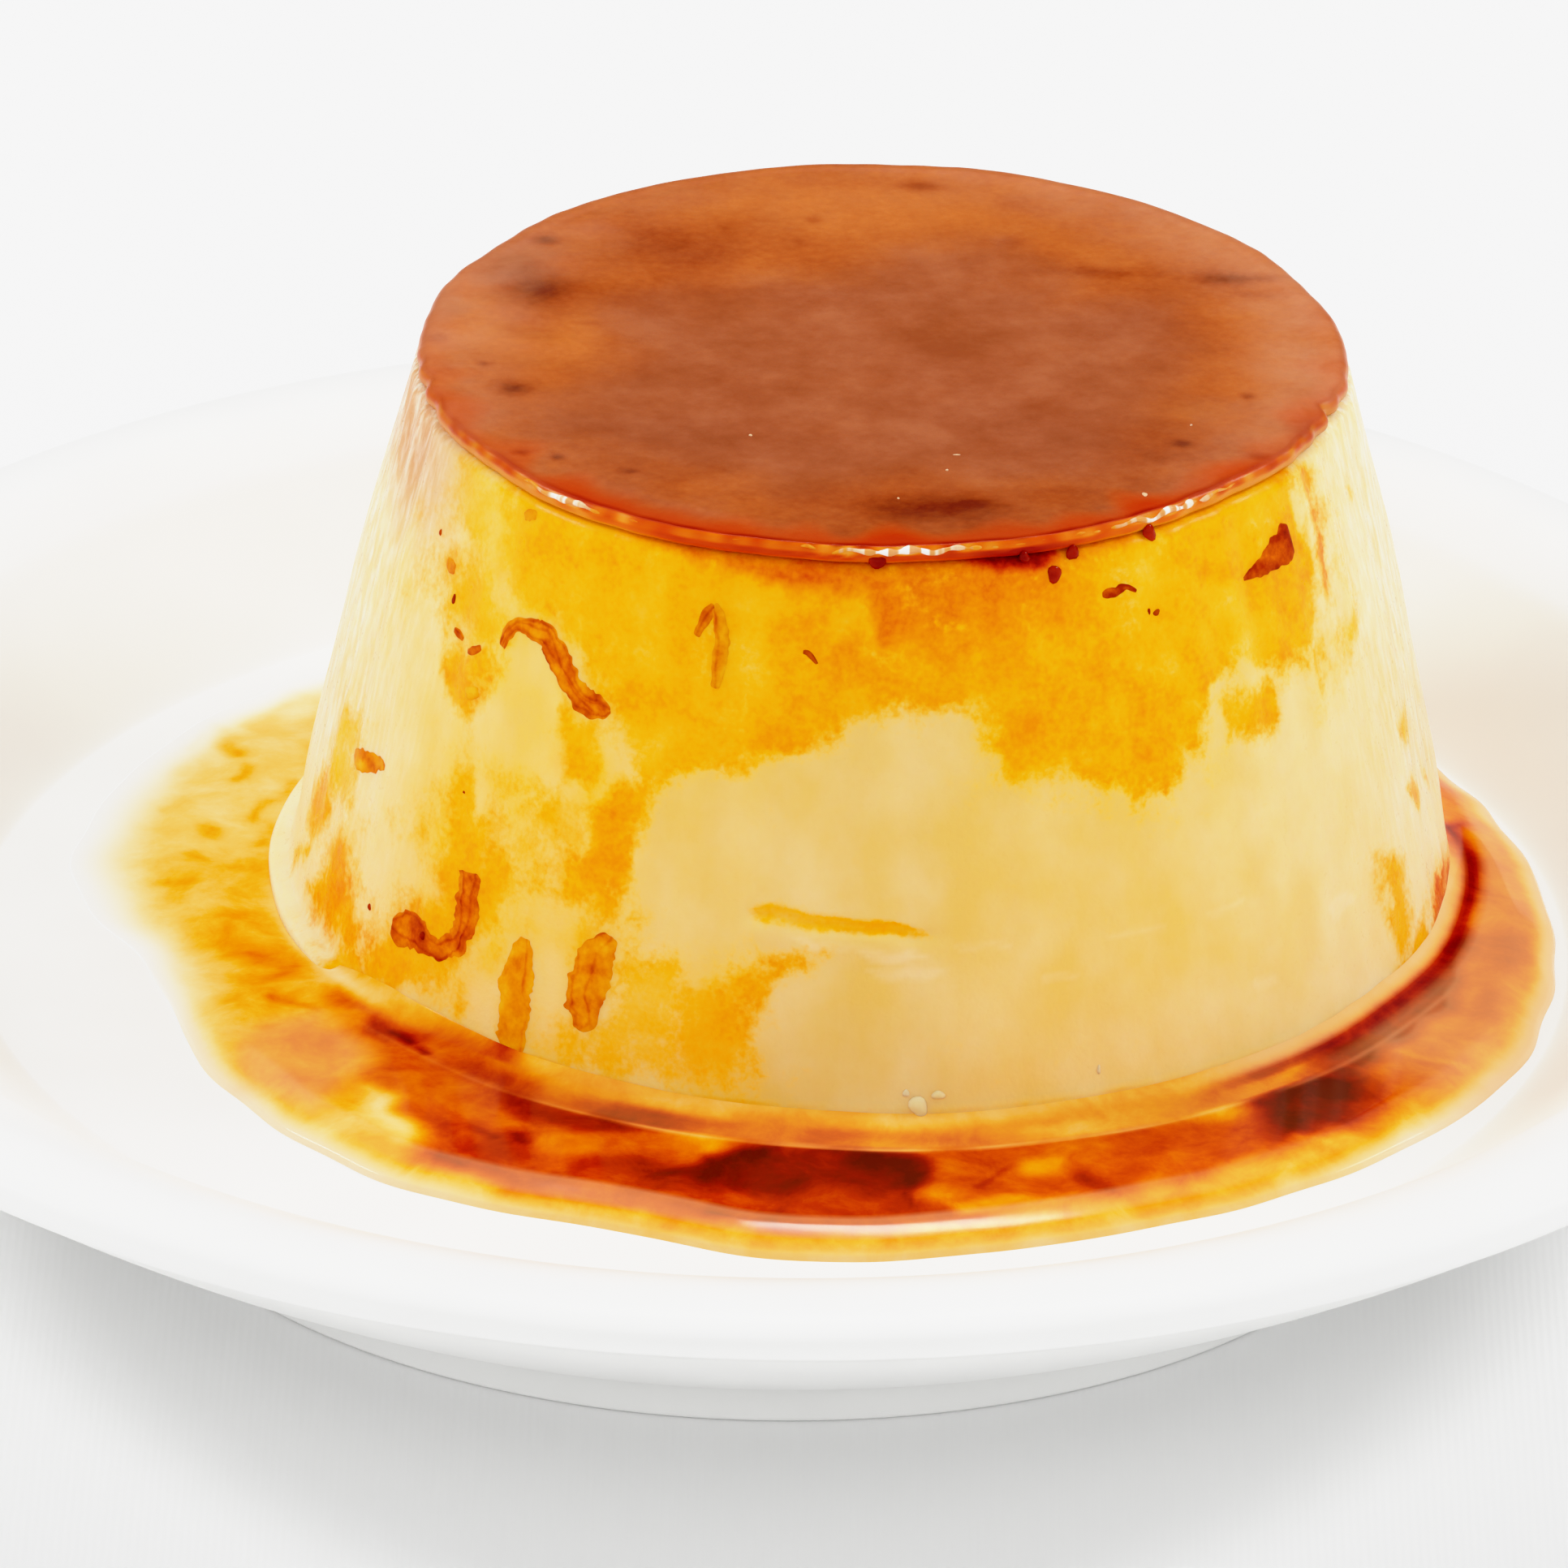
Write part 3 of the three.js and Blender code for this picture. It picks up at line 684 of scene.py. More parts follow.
dyed = node(tree, "MapRange", {0: frayed, 1: 0.18, 2: 0.88}, interpolation_type="SMOOTHSTEP")
depth = node(tree, "TexNoise", {
    "Vector": spot, "Scale": 1 / (DEPTH_CLOUD * METRE), "Detail": 8.0, "Roughness": 0.68})
deeper = node(tree, "MapRange", {0: depth, **NOISE, 3: -0.07, 4: 0.07})
mottled = node(tree, "MapRange", {0: blotch, **NOISE, 3: -0.07, 4: 0.06})
freckles = node(tree, "Math", {0: speck, 1: 0.35, 2: mottled}, operation="MULTIPLY_ADD")
uneven = node(tree, "Math", {0: deeper, 1: freckles}, operation="ADD")
varied = node(tree, "Math", {0: soak, 1: uneven}, operation="ADD")
thinning = node(tree, "MapRange", {0: depth, **NOISE, 3: 0.35, 4: 1.65})
thin_wash = node(tree, "Math", {0: wash, 1: thinning}, operation="MULTIPLY")
level = node(tree, "Mix", {0: dyed, 2: thin_wash, 3: varied})
stained = node(tree, "ValToRGB", {0: level}, stops=caramel_stops)
upright = node(tree, "VectorMath", {0: spot, 1: (1, 1, 0.75)}, operation="MULTIPLY")
clouds = node(tree, "TexNoise", {"Vector": upright, "Scale": 1 / (CREAM_CLOUD * METRE), "Detail": 4.0})
cloudy = node(tree, "MapRange", {0: clouds, 1: 0.35, 2: 0.68, 3: -0.2, 4: 0.22})
paler = node(tree, "Math", {0: cream, 1: cloudy}, operation="ADD", use_clamp=True)
bare = node(tree, "Math", {0: 1.0, 1: dyed}, operation="SUBTRACT")
pale_part = node(tree, "Math", {0: paler, 1: bare}, operation="MULTIPLY")
creamed = node(tree, "Mix", {
    0: pale_part, 6: stained, 7: colour("f6dcac")}, data_type="RGBA")
# A peach veil over the upper left: painted reflection.
veiled = node(tree, "Mix", {0: veil, 6: creamed, 7: colour("d4966a")}, data_type="RGBA")
# Whitish streaks along the folds at the sides, kept off the stains: painted sheen. The same streaks also
# bump the surface as real folds.
narrow = node(tree, "VectorMath", {0: spot, 1: (1, 1, STREAK_STRETCH)}, operation="MULTIPLY")
streaks = node(tree, "TexNoise", {
    "Vector": narrow, "Scale": 1 / (STREAK_WIDTH * METRE), "Detail": 3.0})
streaky = node(tree, "MapRange", {0: streaks, 1: 0.42, 2: 0.72})
showing = node(tree, "Math", {0: dyed, 1: -0.8, 2: 1.0}, operation="MULTIPLY_ADD")
clear_silk = node(tree, "Math", {0: silk, 1: showing}, operation="MULTIPLY")
silky = node(tree, "Math", {0: streaky, 1: clear_silk}, operation="MULTIPLY")
sheen = node(tree, "Mix", {0: silky, 6: veiled, 7: colour("fbf0dc")}, data_type="RGBA")
fine = node(tree, "Bump", {"Strength": 0.25, "Distance": 0.00015, "Height": grain})
silk_height = node(tree, "Math", {0: streaks, 1: silk}, operation="MULTIPLY")
long_folds = node(tree, "Bump", {
    "Strength": 0.5, "Distance": 0.0004, "Height": silk_height, "Normal": fine})
wet = node(tree, "MapRange", {0: grain, **NOISE, 3: 0.26, 4: 0.40})
gel = node(tree, "BsdfPrincipled", {
    "Base Color": sheen, "Roughness": wet, "IOR": 1.36, "Specular IOR Level": 0.15,
    "Subsurface Weight": 0.35, "Subsurface Radius": (1.0, 0.6, 0.25), "Subsurface Scale": 0.003,
    "Coat Weight": 0.08, "Coat Roughness": 0.1, "Coat IOR": 1.34, "Normal": long_folds})
node(tree, "OutputMaterial", {0: gel})

# %% [markdown]
# ## The custard body
# One closed surface: flat underside, a thin brim that the mould's mouth left, the wall, and a top that
# hides under the caramel skin. The grid is fine, about a third of a millimetre, because it carries the
# relief and the painted strengths: `cover` and `soak` for caramel, `wash` for the honey between, one
# for where the custard is paler, which at the two sides and towards the foot is painted light, one for
# a peach veil over the upper left, which is painted reflection, and one for the folds at the sides,
# whose whitish streaks are painted sheen.

# %% The custard body
CUSTARD_COLUMNS = 720
CUSTARD_TOP = custard_high[2] - FOOT
wall_rows = np.linspace(2.4, CUSTARD_TOP - 0.7, 108)
FLARE = 0.35
low_rows = np.array([1.25, 1.4, 1.6, 1.8, 2.0, 2.2])
brim_rows = [(0.0, -0.5), (0.1, -0.15), (0.3, 0.0), (0.55, 0.02), (0.8, 0.0), (0.95, -0.12), (1.1, -0.45)]
top_rows = [(-0.45, -0.08), (-0.2, -0.3), (-0.05, -0.7), (0.0, -1.5)]

columns = np.arange(CUSTARD_COLUMNS) * 360 / CUSTARD_COLUMNS - 180
brim_wave = 0.12 * ripple(columns, 0.0, 13, (5, 24), 0)
custard_rings = []
for height, inset in brim_rows:
    custard_rings.append(around(columns, BRIM_RADIUS + inset + brim_wave, height, AXIS - (0.3, 0)))
for height in np.concatenate([low_rows, wall_rows]):
    flare = FLARE * np.exp(-(height - brim_rows[-1][0]) / FLARE)
    custard_rings.append(around(columns, wall_face(columns, height) + flare, height))
for below, inset in top_rows:
    height = CUSTARD_TOP + below
    custard_rings.append(around(columns, wall_face(columns, height) + inset, height))
custard_points = with_poles(np.array(custard_rings))
custard = mesh_object("custard_body", custard_points, ring_faces(len(custard_rings), CUSTARD_COLUMNS),
                      custard_look, "custard")

out = custard_points[:, :2] - AXIS
angles = np.degrees(np.arctan2(out[:, 0], -out[:, 1]))
heights = custard_points[:, 2] - FOOT
gap, opened = crack_gap(angles, heights)
cover_values, soak_values = caramel_soak(angles, heights)
crack_width = 0.46 + 0.34 * bump(angles, -9, 4)
crack_stain = opened * bell(gap, crack_width)
cover_values = np.maximum(cover_values, 1.25 * crack_stain)
soak_values = toward(soak_values, 0.34, crack_stain)
wall_points = np.stack([angles * MM_PER_DEGREE, heights], axis=-1)
wash_values = washes(wall_points, honey_washes, (MM_PER_DEGREE, 1))
wash_values = wash_values - 0.11 * washes(wall_points, windows, (MM_PER_DEGREE, 1))
pale_marks = [
    (0.6, 0.5, [(-9, 12.9), (-4, 12.8), (-3, 12.2), (-7, 12.1)]),
    (0.7, 0.5, [(-3, 12.4), (4, 12.3), (6, 11.7), (0, 11.4)]),
    (0.6, 0.5, [(-1, 11.0), (6, 11.3), (8, 10.7), (2, 10.3)]),
    (0.4, 0.4, [(8, 12.6), (14, 12.4), (14, 12.1), (9, 12.2)]),
    (0.5, 0.4, [(17.6, 10.2), (21, 10), (21, 9.6), (18, 9.7)]),
    (0.4, 0.4, [(24, 12.2), (31, 12), (31, 11.7), (25, 11.8)]),
    (0.4, 0.4, [(36, 12), (41, 12), (41, 11.7), (36, 11.7)]),
    (0.5, 0.5, [(53, 9), (56, 9.3), (58, 8.6), (55.6, 7.8), (53.4, 8.2)]),
    (0.4, 0.4, [(41.4, 6.8), (44.6, 6.6), (44.4, 6), (41.6, 6.2)])]
torn_x, torn_y = (ripple(angles, heights, seed, (30, 110), 1.6) for seed in (26, 27))
torn_points = wall_points + np.stack([0.35 * torn_x, 0.12 * torn_y], axis=-1)
broken_skin = washes(torn_points, pale_marks, (MM_PER_DEGREE, 1))
wash_values = np.maximum(wash_values, 0.26 * (1 - ease(heights, 2.2, 2.6)))
# Paler at the two sides and towards the foot: painted light. The marks of broken skin below the crack are
# paler custard.
left_side = ease(-angles, 40, 78)
right_side = ease(angles, 22, 78)
middle = bell(heights - 17, 6) * bump(angles, -4, 18)
low_part = 1 - ease(heights, 3, 15)
cream_values = (0.12 + 0.16 * middle + 0.68 * left_side + 0.66 * right_side
                + 0.5 * broken_skin + 0.12 * low_part)
# A peach veil down the upper left, with a sharp lower edge: painted reflection.
veil_edge = ease(heights + 0.7 * ripple(angles, heights, 25, (20, 60), 0.2), 26, 33.5)
veil_values = 0.85 * veil_edge * between(-angles, 53, 74, 104, 120)
# Whitish streaks along the side folds: painted sheen.
silk_values = 0.85 * np.clip(bump(angles, -88, 20) + bump(angles, 88, 18), 0, 1) * ease(heights, 3, 14)
paint(custard, cover=cover_values, soak=soak_values, wash=wash_values,
      cream=cream_values, veil=veil_values, silk=silk_values)

# %% [markdown]
# ## Caramel skin
# The top was the bottom of the mould, where the syrup lay all through the baking. It is a thin, dense,
# dyed skin, sienna brown and hazy rather than glossy, because its surface is a dried gel with very fine
# wrinkles. Colour comes from painted strengths: how burnt it is; how greyish the haze and how pale the
# bloom over it, which are both painted sheen, the room mirrored dully in the skin; how light the thick
# syrup along the edge is, with painted highlights where the lamps glint; and painted shade in a crease.

# %% Caramel skin
MOTTLE = 7.0
WISP = 5.0
SKIN_GRAIN = 0.6

skin_look, tree, spot = material("caramel_soaked_skin")
burnt, haze, bloom, glow, edge_part, dark_line = (
    node(tree, "Attribute", attribute_name=name).outputs["Fac"]
    for name in ("burnt", "haze", "bloom", "glow", "edge", "crease"))
mottle = node(tree, "TexNoise", {
    "Vector": spot, "Scale": 1 / (MOTTLE * METRE), "Detail": 9.0, "Roughness": 0.68})
patchy = node(tree, "MapRange", {0: mottle, **NOISE, 3: -0.13, 4: 0.13})
grainy = node(tree, "TexNoise", {"Vector": spot, "Scale": 1 / (SKIN_GRAIN * METRE), "Detail": 3.0})
speck = node(tree, "MapRange", {0: grainy, **NOISE, 3: -0.05, 4: 0.05})
summed = node(tree, "Math", {0: burnt, 1: patchy}, operation="ADD")
burn_level = node(tree, "Math", {0: summed, 1: speck}, operation="ADD")
burn_stops = [
    (0.0, "d68040"), (0.25, "c46e34"), (0.5, "b05828"), (0.7, "9a421a"), (0.85, "84320e"),
    (1.0, "6a1c06")]
burn = node(tree, "ValToRGB", {0: burn_level}, stops=burn_stops)
# The greyish haze is painted sheen: the room mirrored dully in the skin.
wisps = node(tree, "TexNoise", {
    "Vector": spot, "Scale": 1 / (WISP * METRE), "Detail": 9.0, "Roughness": 0.66})
wispy = node(tree, "MapRange", {0: wisps, **NOISE, 3: -0.18, 4: 0.18})
drifting = node(tree, "Math", {0: haze, 1: wispy}, operation="ADD")
misted = node(tree, "MapRange", {0: drifting, 1: 0.0, 2: 1.05, 4: 0.85},
              interpolation_type="SMOOTHSTEP")
haze_stops = [(0.35, "a66040"), (0.5, "9a5234"), (0.65, "8e4628")]
mist = node(tree, "ValToRGB", {0: mottle}, stops=haze_stops)
hazed = node(tree, "Mix", {0: misted, 6: burn, 7: mist}, data_type="RGBA")
# The pale bloom on the outer ring, left and right, is painted sheen as well.
drifted = node(tree, "MapRange", {0: wisps, 1: 0.35, 2: 0.65, 3: 0.35, 4: 1.0})
blooming = node(tree, "Math", {0: bloom, 1: drifted}, operation="MULTIPLY")
bloomed = node(tree, "Mix", {
    0: blooming, 6: hazed, 7: colour("dca27a")}, data_type="RGBA")
glow_stops = [
    (0.0, "9c1400"), (0.3, "cc4200"), (0.46, "de6c0c"), (0.58, "e6942a"), (0.7, "e09858"),
    (0.85, "ecc49c"), (1.0, "fffaf2")]
syrup_edge = node(tree, "ValToRGB", {0: glow}, stops=glow_stops)
skin_tint = node(tree, "Mix", {0: edge_part, 6: bloomed, 7: syrup_edge}, data_type="RGBA")
# The dark line in the crease where the front lip meets the flat top is painted shade.
creased = node(tree, "Mix", {0: dark_line, 6: skin_tint, 7: colour("8e1200")}, data_type="RGBA")
wrinkle = node(tree, "Bump", {"Strength": 0.2, "Distance": 0.00012, "Height": grainy})
dull = node(tree, "MapRange", {0: mottle, **NOISE, 3: 0.30, 4: 0.42})
skin_gel = node(tree, "BsdfPrincipled", {
    "Base Color": creased, "Roughness": dull, "IOR": 1.38,
    "Specular IOR Level": 0.18, "Subsurface Weight": 0.1, "Subsurface Radius": (1.0, 0.4, 0.15),
    "Subsurface Scale": 0.0015, "Coat Weight": 0.12, "Coat Roughness": 0.15, "Coat IOR": 1.36,
    "Normal": wrinkle})
node(tree, "OutputMaterial", {0: skin_gel})

# %% [markdown]
# ## The caramel top
# The skin is a disc about a millimetre thick. At the front its edge is a rounded lip with a fine dark
# line where it meets the flat top, and elsewhere it just rolls over. The disc is a stack of rings too:
# the side, plain or with the lip, and the gently uneven top. Each row of the side is a distance out of
# the wall and a height above the custard, in mm.

# %% The caramel top
TOP_COLUMNS = 720
plain_rows = [
    (-1.6, 0.12), (-0.55, 0.10), (-0.16, 0.06), (-0.02, 0.15), (0.04, 0.30), (0.05, 0.50), (0.00, 0.68),
    (-0.10, 0.84), (-0.24, 0.97), (-0.42, 1.07), (-0.62, 1.13), (-0.85, 1.17), (-1.10, 1.18),
    (-1.35, 1.18)]
lip_rows = [
    (-1.6, 0.12), (-0.55, 0.10), (-0.12, 0.05), (0.03, 0.15), (0.09, 0.34), (0.10, 0.54), (0.09, 0.72),
    (0.04, 0.88), (-0.04, 1.01), (-0.12, 1.10), (-0.21, 1.15), (-0.31, 1.12), (-0.75, 1.12),
    (-1.20, 1.13)]
LIP_LUMP = 0.04
TOP_LEVEL = HEIGHT - 0.02
top_insets = np.concatenate([np.linspace(1.6, 6, 20), np.linspace(6.4, 28.2, 56)])


def skin_edge(angle):
    """Radius of the skin's side, with a small notch at the right where it folded."""
    side = wall_radius(angle, HEIGHT - 0.6) + 0.7 * wall_relief(angle, HEIGHT - 0.6)
    return side - 0.55 * bump(angle, 76, 1.5) + 0.22 * bump(angle, 72.5, 1.8)


def top_level(angle, radius):
    """Unevenness of the top in mm: a slow swell, wrinkles at the left edge and a fold at the notch."""
    x = radius * np.sin(np.radians(angle))
    y = -radius * np.cos(np.radians(angle))
    swell = 0.08 * np.sin(x / 6.1 + 0.7) * np.cos(y / 7.3 - 0.4) + 0.03 * np.sin((x + y) / 3.1)
    left_edge = bump(angle, -100, 50) * ease(radius, 17, 26)
    wrinkles = 0.06 * left_edge * ripple(angle, radius, 33, (8, 36), 1.4)
    fold = 0.12 * bump(angle, 74, 3.5) * ease(radius, 23.5, 27)
    return (swell + wrinkles) * (1 - ease(radius, 26.4, 28)) + fold - 0.05


columns = np.arange(TOP_COLUMNS) * 360 / TOP_COLUMNS - 180
skin_radius = skin_edge(columns)
lip_lumps = ripple(columns, 0.0, 31, (30, 130), 0, 14)
lip_lumps = lip_lumps * ease(ripple(columns, 0.0, 32, (5, 18), 0), -0.6, 1.2)
lip_size = bump(columns, 2, 66, 1.15)
skin_rings = []
for plain, lip in zip(np.array(plain_rows), np.array(lip_rows)):
    offset, height = (toward(plain[i], lip[i], lip_size) for i in (0, 1))
    lively = LIP_LUMP * (lip_lumps * lip_size * ease(plain[1], 0.0, 0.5) * (plain[0] > -0.5))
    skin_rings.append(around(columns, skin_radius + offset + lively, CUSTARD_TOP + height + lively))
for inset in top_insets:
    radius = skin_radius * (1 - inset / TOP_RADIUS)
    skin_rings.append(around(columns, radius, TOP_LEVEL + top_level(columns, radius)))
skin_rings = np.array(skin_rings)
skin_points = with_poles(skin_rings)
skin = mesh_object("caramel_skin_top", skin_points, ring_faces(len(skin_rings), TOP_COLUMNS),
                   skin_look, "caramel_top")

# %% [markdown]
# ## Painting the brown of the top
# A baked caramel skin is never one brown. A greyish mist lies over the middle, which is painted sheen,
# the room mirrored dully in the skin, and a pale bloom of painted sheen lies at the left and right edges.
# Orange shines through at the back where the skin is thin, and syrup gathered red just inside the front
# edge. The mist is drawn as outlines, and the darker and lighter spots are soft ellipses (x, y, half
# width, half depth, amount) in mm from the pudding's axis. The side of the skin is orange red below and
# a lighter orange above, where it is thin enough for light to come through. At three places at the
# front the lip is lighter still, which is painted highlight where the lamps glint, and the dark line in
# the crease behind it is painted shade.

# %% Painting the brown of the top
PLAIN_BURN = 0.50
THIN_HAZE = 0.22
burn_spots = [
    (-22, 8, 2.2, 2.6, 0.42), (-21.6, 15.6, 0.9, 0.8, 0.5), (-23, 11, 1.4, 1.6, 0.2),
    (-13.5, 14.5, 4.2, 3.0, 0.22), (-10, 18, 1.4, 1.4, 0.18), (2.4, 25.3, 1.5, 0.9, 0.42),
    (8, 23, 1.4, 1.4, 0.15), (8, 16.8, 1.2, 0.8, 0.22), (13.5, 12.2, 3.0, 0.9, 0.25),
    (21.6, 11.8, 2.0, 1.1, 0.40), (23.6, 9.4, 1.6, 0.7, 0.18), (22.8, -6, 0.5, 0.6, 0.35),
    (18.6, -13.4, 0.8, 0.6, 0.42), (17, -15.5, 2.2, 1.0, 0.15), (3, -23.6, 4.2, 2.2, 0.38),
    (5.5, -22.6, 1.6, 0.8, 0.2), (-23, -7.2, 1.2, 1.0, 0.42), (-22.4, -16.6, 0.5, 0.4, 0.5),
    (-20.1, -17.3, 0.4, 0.4, 0.5), (-15.6, -19.2, 0.5, 0.4, 0.3), (-4.6, 19.6, 0.5, 0.6, 0.3),
    (-25, -3.6, 0.4, 0.4, 0.3), (26.4, -10.6, 1.0, 1.6, 0.42), (23.4, -15, 0.8, 0.6, 0.5),
    (-15, -3.5, 0.5, 2.4, 0.14), (-28.2, 0.2, 0.8, 0.8, 0.4), (24.5, 12, 2.5, 0.5, 0.2),
    (-18.5, 3, 1.0, 0.4, 0.2), (-13, -13, 6, 2.6, 0.24), (5, -8, 6, 8, 0.14), (-9, -6, 3, 4, 0.14),
    (-3, 8, 5, 1.2, 0.16), (14, -20, 8, 2.2, 0.1), (-17, 6, 5, 6, 0.16), (18, 5, 5, 6, 0.12),
    (11, -13, 6, 5, 0.14)]
light_spots = [
    (0, 22, 11, 5, 0.22), (-19, 4, 1.6, 6, 0.14), (-20.5, -1, 4, 3, 0.14), (14, 15, 3, 2.5, 0.12),
    (23, 3, 4, 8, 0.12), (-8, 10.5, 6, 1.5, 0.10), (19.4, -8.5, 2.2, 1.6, 0.22),
    (8.5, -19.4, 5, 0.8, 0.16), (-18.5, -14.6, 1.6, 0.8, 0.12), (-26, 3, 2.4, 5, 0.14),
    (3, -17, 6, 3, 0.08), (-6, -20, 6, 1.6, 0.10)]
mist_patches = [
    (0.95, 12.0, [(-19, 6), (-9, 10), (-3, 12), (1, 15.5), (8, 17.5), (10, 13), (13, 9.5), (19, 8),
        (20.5, 1), (19, -6), (18, -11), (17, -15), (13, -18.5), (8, -20.5), (0, -20), (-6, -22),
        (-12, -19), (-18, -16.5), (-22, -12.5), (-20, -8), (-17, -2)]),
    (0.7, 4.0, [(-27, 12), (-23, 16.5), (-20.5, 13), (-21, 10), (-26, 8)]),
    (0.6, 3.0, [(-29, 0), (-26, 4), (-27, 8), (-30, 8)]),
    (0.5, 2.4, [(17, -6), (20, -5), (24, -7), (20, -11), (17, -9)]),
]

x = skin_points[:, 0] - AXIS[0]
y = skin_points[:, 1] - AXIS[1]
angles = np.degrees(np.arctan2(x, -y))
radii = np.hypot(x, y)
heights = skin_points[:, 2] - FOOT
edge_gap = skin_edge(angles) - radii
burnt_values = np.full(len(x), PLAIN_BURN)
for sign, spots in ((1, burn_spots), (-1, light_spots)):
    for sx, sy, wide, deep, amount in spots:
        away = np.hypot((x - sx) / wide, (y - sy) / deep)
        burnt_values = burnt_values + sign * amount * bell(away, 1)
front = bump(angles, 2, 66, 1.25)
burnt_values = burnt_values + 0.10 * ease(-y, 4, 20)
# Painted sheen: the greyish haze over the middle.
haze_values = np.maximum(washes(np.stack([x, y], axis=-1), mist_patches), THIN_HAZE)
# Painted sheen: a pale bloom at the left and right edges of the top.
sides = 0.8 * bump(angles, -98, 48) + bump(angles, 92, 46) + 0.4 * bump(angles, 150, 30)
bloom_values = 0.45 * ease(radii, 20, 28.5) * np.clip(sides, 0, 1)
band_wobble = ripple(angles, radii, 36, (14, 50), 0.5)
red_rim = front * (1 - ease(edge_gap, 0.5 + 0.4 * band_wobble, 3.2 + 1.1 * band_wobble))
red_rim = red_rim * (0.82 + 0.24 * ripple(angles, 0.0, 37, (6, 26), 0))
on_side = 1 - ease(edge_gap, 0.12, 0.24)
lit = ripple(angles, heights, 34, (30, 110), 2.0)
above_custard = heights - CUSTARD_TOP
lip_foot = (0.40 + 0.17 * ease(np.abs(angles), 22, 34)
            - 0.34 * bump(angles, 16, 6) - 0.08 * bump(angles, -19, 8))
# The lip is lighter at three places at the front: painted highlight where the lamps glint.
lip_face = 0.38 + 0.12 * lit + 0.15 * (bump(angles, 2, 9) + bump(angles, -42, 7) + bump(angles, 38, 10))
glow_values = toward(lip_foot, lip_face, ease(above_custard, 0.50, 0.66))
under_line = bell(above_custard - 0.44, 0.12) * (1 - ease(np.abs(angles), 34, 50))
glow_values = glow_values - 0.34 * under_line * broken(angles, 35, (20, 80), 0.8, 0.4)
# A dark line in the crease behind the lip: painted shade.
crease_values = bell(edge_gap - 0.36, 0.20) * bump(angles, 2, 60, 1.2)
crease_values = crease_values * broken(angles, 38, (20, 90), 0.8, 0.3)
edge_values = np.maximum(on_side * bump(angles, 2, 72, 1.3), np.clip(red_rim, 0, 0.92))
glow_values = np.where(on_side > 0.5, glow_values, 0.31 - 0.18 * red_rim)
paint(skin, burnt=burnt_values, haze=haze_values, bloom=bloom_values,
      glow=glow_values, edge=edge_values, crease=crease_values)
print("skin", round(float(skin_high[2] - skin_low[2]), 2), "mm thick, with", len(burn_spots), "dark spots")

# %% [markdown]
# ## Caramel syrup
# Thin syrup on white porcelain is pale gold, deeper syrup turns orange, red and at last nearly black,
# exactly like tea in a cup. A renderer could follow light through the liquid, but the depth here is
# only a millimetre and is known at every point, so the colour is looked up from a painted depth and
# the surface is kept opaque with a smooth gloss. It looks the same and renders cleanly.

# %% Caramel syrup
syrup_stops = [
    (0.00, "f4f4f2"), (0.08, "f5e9cf"), (0.16, "f6daa0"), (0.26, "f6c466"), (0.36, "f5ae2a"),
    (0.46, "ee9206"), (0.56, "e07000"), (0.66, "cc4a00"), (0.76, "ae2800"), (0.87, "860c00"),
    (1.00, "580400")]

SWIRL = 4.0
SLOW_WAVE = 6.0

syrup_look, tree, spot = material("caramel_syrup")
syrup, peach = (node(tree, "Attribute", attribute_name=name).outputs["Fac"] for name in ("syrup", "peach"))
swirl = node(tree, "TexNoise", {
    "Vector": spot, "Scale": 1 / (SWIRL * METRE), "Detail": 7.0, "Roughness": 0.66, "Distortion": 0.3})
swirled = node(tree, "MapRange", {0: swirl, **NOISE, 3: -0.11, 4: 0.11})
wetted = node(tree, "MapRange", {0: syrup, 1: 0.08, 2: 0.4})
stirred = node(tree, "Math", {0: swirled, 1: wetted}, operation="MULTIPLY")
deepness = node(tree, "Math", {0: syrup, 1: stirred}, operation="ADD")
syrup_tint = node(tree, "ValToRGB", {0: deepness}, stops=syrup_stops)
# A peach tint mixed in where it is painted: its band at the front and haze on the right are painted
# reflection.
peachy = node(tree, "Mix", {0: peach, 6: syrup_tint, 7: colour("e8b07a")}, data_type="RGBA")
syrup_gloss = node(tree, "MapRange", {0: swirl, 3: 0.08, 4: 0.13})
surface = node(tree, "TexNoise", {"Vector": spot, "Scale": 1 / (SLOW_WAVE * METRE), "Detail": 1.0})
slow_bump = node(tree, "Bump", {"Strength": 0.1, "Distance": 0.0002, "Height": surface})
liquid = node(tree, "BsdfPrincipled", {
    "Base Color": peachy, "Roughness": syrup_gloss, "IOR": 1.42,
    "Specular IOR Level": 0.17, "Normal": slow_bump})
node(tree, "OutputMaterial", {0: liquid})

# %% [markdown]
# ## The pool of sauce
# The syrup lies in the well of the saucer as a ring round the pudding. At its outer edge surface
# tension rounds it off into a broad bead: steep at the very edge, then a slope of about 20 degrees that
# dies out some 3 mm in. Against the wall it climbs in a concave curve. To the left the plate is only
# wetted: the pool thins out to a film that fades away. The outline is a smooth closed curve through a few
# points, in degrees and millimetres from the pudding's axis.

# %% The pool of sauce
POOL_COLUMNS = 900
BEAD_STEEP, BEAD_STEEP_REACH = 0.5, 0.25
bead_bends = [(0.0, 0.42), (1.1, 0.40), (1.5, 0.35), (2.5, 0.31), (3.1, 0.10), (3.6, 0.0)]
CLIMB_REACH = 1.35
UNDER_POOL = -0.28
pool_outline = [
    (-180, 40.0), (-172, 40.4), (-143, 43), (-119, 48), (-104, 50), (-86, 51), (-72, 48), (-52, 50.8),
    (-33, 52.5), (-19, 51.4), (-4, 52.6), (13, 50.8), (36, 49.4), (57, 47.8), (76, 44.7), (98, 42),
    (126, 39.9), (158, 39.8)]

